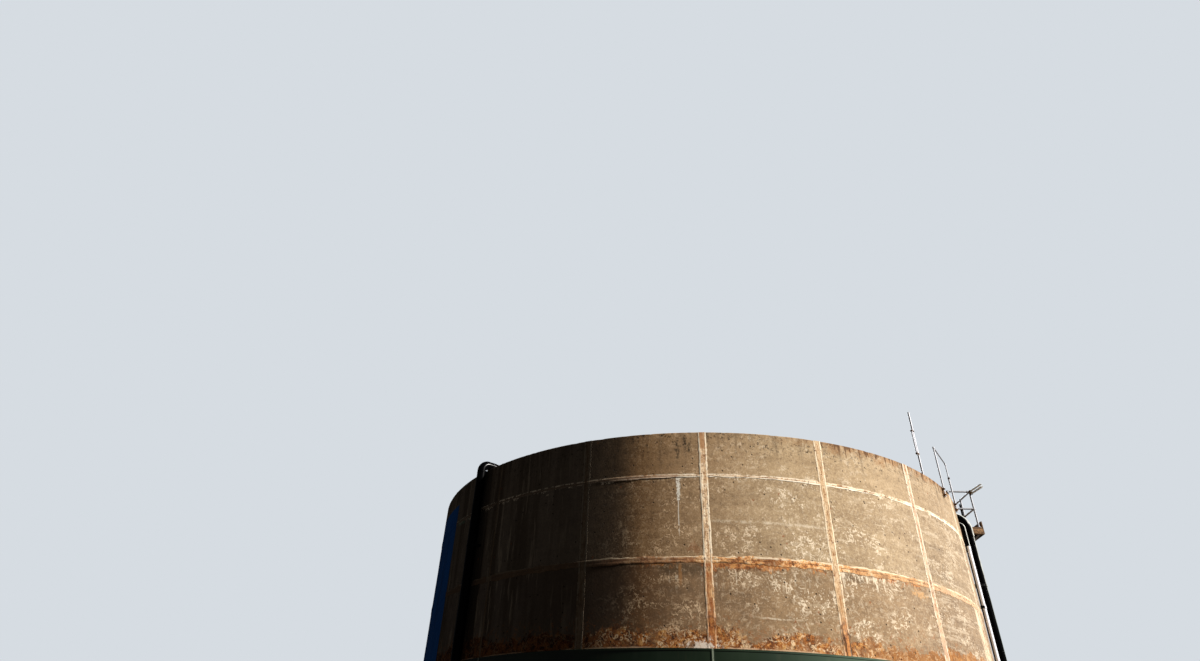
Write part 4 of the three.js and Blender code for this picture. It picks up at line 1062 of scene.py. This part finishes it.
def jacket_trim():
    trim = Piece()
    inner, outer = OUTER_R + JACKET_T - 0.002, OUTER_R + JACKET_T + SEAM_PROUD
    section = [
        (inner, JACKET_TOP - 0.036), (outer - 0.002, JACKET_TOP - 0.036), (outer, JACKET_TOP - 0.034),
        (outer, JACKET_TOP - 0.002), (outer - 0.002, JACKET_TOP), (inner, JACKET_TOP),
    ]
    trim.loft([[around(r, deg, z) for r, z in section] for deg in spread(0, 360, 720)[:-1]], closed=True)
    for i in range(JACKET_PLATES):
        seam = FIRST_JOINT_DEG + i * 360 / JACKET_PLATES
        rings = []
        for z in (JACKET_BOTTOM, JACKET_TOP - 0.037):
            ring = []
            for s, r in ((-1, inner), (-1, outer - 0.002), (-0.93, outer), (0.93, outer), (1, outer - 0.002), (1, inner)):
                ring.append(around(r, seam + math.degrees(s * 0.030 / OUTER_R), z))
            rings.append(ring)
        trim.loft(rings)
        for z in spread(0.15, JACKET_TOP - 0.15, 12):
            for side in (-0.016, 0.016):
                place = around(outer - 0.0005, seam + math.degrees(side / OUTER_R), z)
                trim.disc(place, (place.x, place.y, 0), 0.006, 0.0035, 12, 0.0015)
    trim.build("green_trim", [GREEN_STEEL], ["jacket_trim"])


# Pipes and their clamps

def bend_path(pipe, steps=28):
    """Upright from where the bend piece starts, a quarter turn, then level towards the tank axis."""
    x, top, radius = pipe["x"], pipe["top"], pipe["bend_r"]
    path = [(x, 0, pipe["from_z"])]
    for turn in spread(0, math.pi / 2, steps):
        path.append((x - radius + radius * math.cos(turn), 0, top - radius + radius * math.sin(turn)))
    path.append((pipe["end_x"], 0, top))
    return path


def bead(piece, centre, axis, radius, half=0.006, proud=0.004, slot=0):
    """A low round weld bead about a pipe."""
    axis, _, _ = basis(axis)
    centre = Vector(centre)
    steps = spread(-1, 1, 6)
    piece.tube([centre + axis * half * s for s in steps], [radius + proud * math.sqrt(1 - s * s * 0.98) for s in steps], 40, slot=slot)


def clamp(name, pipe, z, node, strap_paint):
    """A strap over the pipe, painted with it, and a black foot each side, bolted to the wall."""
    piece = Piece(pipe["deg"])
    wall_x = OUTER_R + (JACKET_T if z < JACKET_TOP else 0.0)
    inner, thick, half = pipe["od"] / 2 + 0.0005, 0.008, 0.030
    foot_end = inner + thick + pipe["foot"]
    path = [(wall_x + 0.001, -foot_end), (wall_x + 0.001, -inner - 0.006), (wall_x + 0.008, -inner)]
    for turn in spread(-math.pi / 2, math.pi / 2, 28):
        path.append((pipe["x"] + inner * math.cos(turn), inner * math.sin(turn)))
    path += [(wall_x + 0.008, inner), (wall_x + 0.001, inner + 0.006), (wall_x + 0.001, foot_end)]
    outline = [Vector((x, y, 0)) for x, y in path]
    rings = []
    for i, point in enumerate(outline):
        along = (outline[min(i + 1, len(outline) - 1)] - outline[max(i - 1, 0)]).normalized()
        out = Vector((along.y, -along.x, 0))
        ring = []
        for side, height in ((0.0, -half), (1.0, -half + 0.002), (1.0, half - 0.002), (0.0, half)):
            offset = point + out * thick * side
            ring.append((offset.x, offset.y, z + height))
        rings.append(ring)
    piece.loft(rings, slot_of=lambda i, j: 1 if 6 < i < len(rings) - 8 else 0)
    for side in (-1, 1):
        y = side * (inner + thick + pipe["foot"] * 0.5)
        piece.bolt((wall_x + thick, y, z), (1, 0, 0), 0.026 if pipe["foot"] > 0.05 else 0.018)
    if pipe["x"] - pipe["od"] / 2 - wall_x > 0.06:
        face = pipe["x"] - pipe["od"] / 2
        piece.block((face - 0.011, -inner, z - half + 0.002), (face - 0.001, inner, z + half - 0.002), 0.002)
    piece.build(name, [CLAMP_STEEL, strap_paint], [node], sharp=40)


def pipes():
    for label, pipe, paint in (("left", LEFT_PIPE, BLACK_PIPE), ("right", RIGHT_PIPE, RIGHT_BLACK)):
        radius, bend_radius = pipe["od"] / 2, pipe["bend_od"] / 2
        riser = Piece(pipe["deg"])
        riser.tube([(pipe["x"], 0, z) for z in spread(0.0, pipe["from_z"] - 0.0005, 40)], radius, 48)
        for z in (1.10, 4.90):
            bead(riser, (pipe["x"], 0, z), (0, 0, 1), radius)
        riser.build(f"{label}_riser", [paint], [f"{label}_pipe_riser"])
        bend = Piece(pipe["deg"])
        bend.tube(bend_path(pipe), bend_radius, 48, bore=(0.016, 0.30))
        bead(bend, (pipe["x"], 0, pipe["from_z"] + 0.010), (0, 0, 1), bend_radius)
        bend.build(f"{label}_bend", [paint], [f"{label}_pipe_bend"], sharp=50)
        for level, z in zip(("low", "high"), pipe["clamps"]):
            clamp(f"{label}_strap_{level}", pipe, z, f"{label}_pipe_clamp_{level}", paint)

    pipe = SMALL_PIPE
    riser = Piece(pipe["deg"])
    top = pipe["from_z"] - 0.0005
    riser.tube([(pipe["x"], 0, z) for z in spread(0.0, top, 30)], pipe["od"] / 2, 36)
    for z in (1.9, 4.6, top - 0.05):
        centre = Vector((pipe["x"], 0, z))
        up = Vector((0, 0, 1))
        riser.tube(
            [centre - up * 0.05, centre - up * 0.047, centre + up * 0.047, centre + up * 0.05],
            [pipe["od"] / 2 + 0.001, pipe["od"] / 2 + 0.004, pipe["od"] / 2 + 0.004, pipe["od"] / 2 + 0.001], 36,
        )
    riser.build("small_riser", [WHITE_PIPE], ["small_pipe_riser"], sharp=40)

    elbow = Piece(pipe["deg"])
    elbow.tube(bend_path(pipe, 36), pipe["bend_od"] / 2, 48)
    for z in (pipe["from_z"] + 0.012, pipe["top"] - pipe["bend_r"] - 0.020):
        bead(elbow, (pipe["x"], 0, z), (0, 0, 1), pipe["bend_od"] / 2)
    elbow.build("small_bend", [SMALL_BLACK], ["small_pipe_bend"], sharp=50)

    flange = Piece(pipe["deg"])
    face = pipe["end_x"] - 0.0003
    flange.disc((OUTER_R - 0.01, 0, pipe["top"]), (1, 0, 0), 0.110, face - OUTER_R + 0.01, 40, 0.002)
    for k in range(4):
        turn = math.radians(45 + 90 * k)
        flange.bolt((face, 0.086 * math.cos(turn), pipe["top"] + 0.086 * math.sin(turn)), (1, 0, 0), 0.016, 0.010)
    flange.build("small_flange", [RUSTY_STEEL], ["small_pipe_flange"], sharp=40)
    for level, z in zip(("low", "high"), pipe["clamps"]):
        clamp(f"small_strap_{level}", pipe, z, f"small_pipe_clamp_{level}", WHITE_PIPE)


# Platform

def platform():
    boards = Piece(PLATFORM_DEG, PLATFORM_Y)
    edges = spread(-DECK_HALF, DECK_HALF, DECK_BOARDS)
    for low, high in zip(edges, edges[1:]):
        overhang = rippled(low, 0, 0, 3.0, 0.004)
        inner = math.sqrt(OUTER_R ** 2 - min(abs(low + PLATFORM_Y), abs(high + PLATFORM_Y)) ** 2) + 0.008
        boards.block(
            (inner, low + 0.003, DECK_TOP - DECK_T), (DECK_OUTER_X - TOE_T - 0.004 + overhang, high - 0.003, DECK_TOP - abs(overhang) * 0.5), 0.004,
        )
    boards.build("deck_boards", [TIMBER], ["platform_deck"])
    toe = Piece(PLATFORM_DEG, PLATFORM_Y)
    toe.block((DECK_OUTER_X - TOE_T, -DECK_HALF, DECK_TOP - DECK_T), (DECK_OUTER_X, DECK_HALF, TOE_TOP), 0.004)
    toe.build("toe_board", [TIMBER_TOE], ["platform_toe_board"])

    nails = Piece(PLATFORM_DEG, PLATFORM_Y)
    for low, high in zip(edges, edges[1:]):
        for x in (OUTER_R + 0.100, OUTER_R + 0.400, DECK_OUTER_X - 0.060):
            for y in ((low * 2 + high) / 3, (low + high * 2) / 3):
                nails.disc((x, y, DECK_TOP - 0.003), (0, 0, 1), 0.006, 0.004, 10, 0.001)
    for y in (-POST_Y, 0.0, POST_Y):
        for z in (DECK_TOP + 0.05, DECK_TOP + 0.12):
            nails.bolt((DECK_OUTER_X, y, z), (1, 0, 0), 0.018, 0.009)
    nails.build("deck_fixings", [RUSTY_STEEL], sharp=40)

    for label, side in (("near", -1), ("far", 1)):
        bracket = Piece(PLATFORM_DEG, PLATFORM_Y)
        beam_top = DECK_TOP - DECK_T - 0.0003
        beam_low = beam_top - BEAM_HEIGHT
        outer, inner = side * DECK_HALF, side * (DECK_HALF - BEAM_WIDTH)
        low, high = min(outer, inner), max(outer, inner)
        web_low, web_high = (low, low + 0.010) if side < 0 else (high - 0.010, high)
        wall_x = math.sqrt(OUTER_R ** 2 - (PLATFORM_Y + (low + high) / 2) ** 2)
        bracket.block((wall_x - 0.06, web_low, beam_low), (DECK_OUTER_X, web_high, beam_top), 0.002)
        for z0 in (beam_low, beam_top - 0.010):
            bracket.block((wall_x - 0.06, low, z0), (DECK_OUTER_X, high, z0 + 0.010), 0.002)
        # The wall plate here and the two diagonals are in painted shade.
        bracket.block((wall_x - 0.06, low, BRACKET_FOOT_Z), (wall_x + 0.014, high, beam_low + 0.004), 0.002, slot=1)
        middle = (low + high) / 2
        for edge in (-0.022, 0.014):
            start = Vector((wall_x + 0.012, middle + edge, BRACKET_FOOT_Z + 0.045))
            end = Vector((DECK_OUTER_X - 0.135, middle + edge, beam_low + 0.004))
            along = (end - start).normalized()
            up = Vector((-along.z, 0, along.x))
            rings = []
            for point in (start, end):
                rings.append([
                    point + up * a + Vector((0, b, 0)) for a, b in ((-0.025, 0), (-0.025, 0.008), (0.025, 0.008), (0.025, 0))
                ])
            bracket.loft(rings, slot=1)
        for z in (BRACKET_FOOT_Z + 0.09, beam_low - 0.09):
            bracket.bolt((wall_x + 0.014, middle, z), (1, 0, 0), 0.026, 0.016)
        bracket.build(
            f"bracket_{label}", [RUSTY_STEEL, SHADED_STEEL], [f"platform_bracket_{label}"], sharp=35,
        )

    # The joists are in painted shade.
    joists = Piece(PLATFORM_DEG, PLATFORM_Y)
    end = DECK_HALF - BEAM_WIDTH - 0.0003
    joists.block((DECK_OUTER_X - 0.010, -end, beam_low), (DECK_OUTER_X, end, beam_top), 0.002)
    for z0 in (beam_low, beam_top - 0.010):
        joists.block((DECK_OUTER_X - BEAM_WIDTH, -end, z0), (DECK_OUTER_X, end, z0 + 0.010), 0.002)
    for y in (-JOIST_SPREAD, JOIST_SPREAD):
        low, high = y - JOIST_WIDTH / 2, y + JOIST_WIDTH / 2
        wall_x = math.sqrt(OUTER_R ** 2 - (PLATFORM_Y + y) ** 2)
        joists.block((wall_x - 0.05, low, beam_low + 0.012), (DECK_OUTER_X - 0.008, low + 0.008, beam_top), 0.002)
        for z0 in (beam_low + 0.008, beam_top - 0.010):
            joists.block((wall_x - 0.05, low, z0), (DECK_OUTER_X - 0.008, high, z0 + 0.010), 0.002)
    joists.build("deck_joists", [SHADED_STEEL], ["platform_joists"], sharp=35)


def post(piece, x, y, low, high, tube, slot=0):
    """An upright tube with a rounded cap."""
    piece.tube([(x, y, low), (x, y, high - 0.006), (x, y, high)], [tube / 2, tube / 2, tube / 2 - 0.006], 20, slot=slot)


def coupler(piece, place, axis, tube):
    """A clamp collar where one tube meets another."""
    axis, _, _ = basis(axis)
    place = Vector(place)
    piece.tube(
        [place - axis * 0.024, place - axis * 0.021, place + axis * 0.021, place + axis * 0.024],
        [tube / 2 + 0.002, tube / 2 + 0.006, tube / 2 + 0.006, tube / 2 + 0.002], 20,
    )


def platform_rails():
    outer = Piece(PLATFORM_DEG, PLATFORM_Y)
    for y in (-POST_Y, 0.0, POST_Y):
        post(outer, POST_X, y, DECK_TOP, RAIL_TOP + TUBE / 2, TUBE)
        outer.block((POST_X - 0.045, max(y - 0.045, -DECK_HALF), DECK_TOP), (POST_X + 0.045, min(y + 0.045, DECK_HALF), DECK_TOP + 0.008), 0.002)
        for z in (RAIL_MID, RAIL_TOP - 0.002):
            coupler(outer, (POST_X, y, z - (0.012 if z > RAIL_MID else 0)), (0, 0, 1), TUBE)
    for z in (RAIL_MID, RAIL_TOP):
        outer.tube([(POST_X, -POST_Y, z), (POST_X, POST_Y, z)], RAIL_TUBE / 2, 20)
    # A dark tube beside the middle post, standing in for its shaded side.
    post(outer, POST_X - 0.043, 0.018, DECK_TOP + 0.008, RAIL_TOP - 0.120, 0.044, slot=1)
    outer.build("rail_outer", [DULL_TUBE, SHADED_STEEL], ["platform_rail_outer"], sharp=40)
    for label, side in (("near", -1), ("far", 1)):
        rail = Piece(PLATFORM_DEG, PLATFORM_Y)
        y = side * POST_Y
        # The near wall post is in painted shade.
        post(rail, WALL_POST_X, y, DECK_TOP, RAIL_TOP + TUBE / 2, TUBE, slot=1 if label == "near" else 0)
        for z in (RAIL_MID, RAIL_TOP):
            rail.tube([(WALL_POST_X, y, z), (POST_X - TUBE / 2 + 0.002, y, z)], TUBE / 2, 20)
            coupler(rail, (WALL_POST_X, y, z - (0.012 if z > RAIL_MID else 0)), (0, 0, 1), TUBE)
            coupler(rail, (POST_X - 0.06, y, z), (1, 0, 0), TUBE)
        rail.build(f"rail_{label}", [DULL_TUBE, SHADED_STEEL], [f"platform_rail_{label}"], sharp=40)

    stubs = Piece(PLATFORM_DEG, PLATFORM_Y)
    start = -POST_Y - TUBE / 2
    for x, z in ((POST_X + 0.015, RAIL_TOP + 0.005), (POST_X + 0.030, RAIL_TOP - 0.060)):
        stubs.tube([(x, start - 0.002, z), (x + 0.073, -1.190, z)], TUBE / 2, 20, bore=(0.004, 0.10))
    stubs.build("stub_tubes", [WHITE_TUBE], ["platform_stub_tubes"], sharp=40)
    block = Piece(PLATFORM_DEG, PLATFORM_Y)
    block.block((POST_X - 0.020, start - 0.040, RAIL_TOP - 0.090), (POST_X + 0.055, start, RAIL_TOP + 0.030), 0.004)
    block.bolt((POST_X + 0.055, start - 0.02, RAIL_TOP - 0.03), (1, 0, 0), 0.018, 0.010)
    block.build("stub_clamp", [RUSTY_STEEL], sharp=40)


# Guardrail and antenna on the rim

def guardrail():
    rail = Piece()
    near, far = GUARD_DEGS
    for deg, parts in ((near, ((7.72, 8.997, 0.034),)), (far, ((7.72, 8.600, 0.040), (8.590, 8.997, 0.028)))):
        x, y, _ = around(GUARD_R, deg, 0)
        for low, high, tube in parts:
            post(rail, x, y, max(low, GUARD_FOOT), high, tube)
    rail.tube([around(GUARD_R, near, GUARD_TOP), around(GUARD_R, far, GUARD_TOP)], 0.014, 20)
    for deg, tube in ((near, 0.034), (far, 0.028)):
        coupler(rail, around(GUARD_R, deg, GUARD_TOP - 0.014), (0, 0, 1), tube)
    rail.build("guard_rail", [DULL_TUBE], ["rim_guardrail"], sharp=40)
    feet = Piece()
    for deg in GUARD_DEGS:
        foot = Piece(deg)
        foot.block((OUTER_R - 0.010, -0.045, GUARD_FOOT), (OUTER_R + 0.012, 0.045, RIM_Z - 0.012), 0.003)
        for z in (GUARD_FOOT + 0.05, RIM_Z - 0.07):
            foot.block((OUTER_R + 0.010, -0.026, z - 0.018), (GUARD_R + 0.024, 0.026, z + 0.018), 0.003)
            foot.bolt((GUARD_R + 0.024, 0.0, z), (1, 0, 0), 0.016, 0.008)
        feet.points, start = feet.points + foot.points, len(feet.points)
        feet.faces += [[start + i for i in face] for face in foot.faces]
        feet.slots += foot.slots
    x, y, _ = around(GUARD_R, far, 0)
    coupler(feet, (x, y, 8.600), (0, 0, 1), 0.040)
    feet.build("guard_feet", [RUSTY_STEEL], sharp=40)


def antenna():
    mast = Piece(MAST_DEG)
    half = 0.080
    mast.block((MAST_R - half, -half, RIM_Z), (MAST_R + half, half, RIM_Z + 0.012), 0.002)
    mast.tube([(MAST_R, 0, RIM_Z + 0.010), (MAST_R, 0, RIM_Z + 0.020), (MAST_R, 0, RIM_Z + 0.022)],
              [MAST_TUBE / 2 + 0.008, MAST_TUBE / 2 + 0.006, MAST_TUBE / 2], 24)
    post(mast, MAST_R, 0, RIM_Z + 0.010, MAST_TOP, MAST_TUBE)
    for x in (-0.058, 0.058):
        for y in (-0.058, 0.058):
            mast.bolt((MAST_R + x, y, RIM_Z + 0.012), (0, 0, 1), 0.018, 0.012)
    mast.build("mast", [GALVANISED], ["antenna_mast"], sharp=40)

    element = Piece(MAST_DEG)
    post(element, MAST_R, ELEMENT_SIDE, ELEMENT_LOW, ELEMENT_HIGH, ELEMENT_TUBE)
    element.build("mast_element", [WHITE_PIPE], ["antenna_element"], sharp=40)
    clamps = Piece(MAST_DEG)
    for z in (ELEMENT_LOW + 0.03, ELEMENT_HIGH - 0.03):
        clamps.block((MAST_R - 0.025, ELEMENT_SIDE - 0.022, z - 0.015), (MAST_R + 0.025, 0.024, z + 0.015), 0.003)
        for y in (ELEMENT_SIDE / 2,):
            clamps.bolt((MAST_R + 0.025, y, z), (1, 0, 0), 0.012, 0.008)
    clamps.build("mast_clamps", [RUSTY_STEEL], sharp=40)


wall_panels()
floor_slab()
mortar_strips()
mortar_bands()
jacket()
jacket_trim()
pipes()
platform()
platform_rails()
guardrail()
antenna()


# Stage: camera, floor and light

def stage_floor():
    g = Graph("studio_floor", roughness=0.9, specular=0.1)
    seen = g.mix(g.noise(0.2, 3), srgb(158, 158, 156), srgb(165, 165, 163))
    rays = g.tree.nodes.new("ShaderNodeLightPath").outputs["Is Camera Ray"]
    g.colour(g.mix(rays, srgb(54, 52, 50), seen))
    mesh = bpy.data.meshes.new("studio_floor")
    half = 400.0
    mesh.from_pydata([(-half, -half, -0.002), (half, -half, -0.002), (half, half, -0.002), (-half, half, -0.002)], [], [(0, 1, 2, 3)])
    mesh.materials.append(g.material)
    floor = bpy.data.objects.new("studio_floor", mesh)
    bpy.context.scene.collection.objects.link(floor)


def camera():
    data = bpy.data.cameras.new("camera")
    data.lens = CAMERA_LENS
    data.sensor_width = 36
    data.clip_end = 1000
    eye = bpy.data.objects.new("camera", data)
    turn = Matrix.Rotation(math.radians(CAMERA_AZIMUTH - 90), 4, "Z")
    tilt = Matrix.Rotation(math.radians(90 + CAMERA_ELEVATION), 4, "X")
    roll = Matrix.Rotation(math.radians(CAMERA_ROLL), 4, "Z")
    eye.matrix_world = Matrix.Translation(CAMERA_PLACE) @ turn @ tilt @ roll
    bpy.context.scene.collection.objects.link(eye)
    bpy.context.scene.camera = eye


def sun(name, azimuth, elevation, strength, colour, softness):
    data = bpy.data.lights.new(name, "SUN")
    data.energy = strength
    data.color = colour
    data.angle = math.radians(softness)
    lamp = bpy.data.objects.new(name, data)
    a, e = math.radians(azimuth), math.radians(elevation)
    back = Vector((math.cos(a) * math.cos(e), math.sin(a) * math.cos(e), math.sin(e)))
    lamp.rotation_mode = "QUATERNION"
    lamp.rotation_quaternion = back.to_track_quat("Z", "Y")
    bpy.context.scene.collection.objects.link(lamp)


def backdrop():
    """A plain pale backdrop, dimmer as a light than it looks, so that the shaded side stays dark."""
    world = bpy.data.worlds.new("studio")
    bpy.context.scene.world = world
    world.use_nodes = True
    nodes, links = world.node_tree.nodes, world.node_tree.links
    nodes.clear()
    seen, light = nodes.new("ShaderNodeBackground"), nodes.new("ShaderNodeBackground")
    seen.inputs["Color"].default_value = srgb(214, 220, 226)
    seen.inputs["Strength"].default_value = 1.0
    light.inputs["Color"].default_value = (0.92, 0.94, 1.0, 1.0)
    light.inputs["Strength"].default_value = 0.035
    rays, mixer = nodes.new("ShaderNodeLightPath"), nodes.new("ShaderNodeMixShader")
    output = nodes.new("ShaderNodeOutputWorld")
    links.new(rays.outputs["Is Camera Ray"], mixer.inputs[0])
    links.new(light.outputs[0], mixer.inputs[1])
    links.new(seen.outputs[0], mixer.inputs[2])
    links.new(mixer.outputs[0], output.inputs["Surface"])


stage_floor()
camera()
sun("key", -18, 33, 8.3, (1.0, 0.960, 0.91), 5)
sun("back_fill", 88, 28, 1.6, (0.90, 0.94, 1.0), 25)
backdrop()
bpy.context.scene.view_settings.view_transform = "Standard"
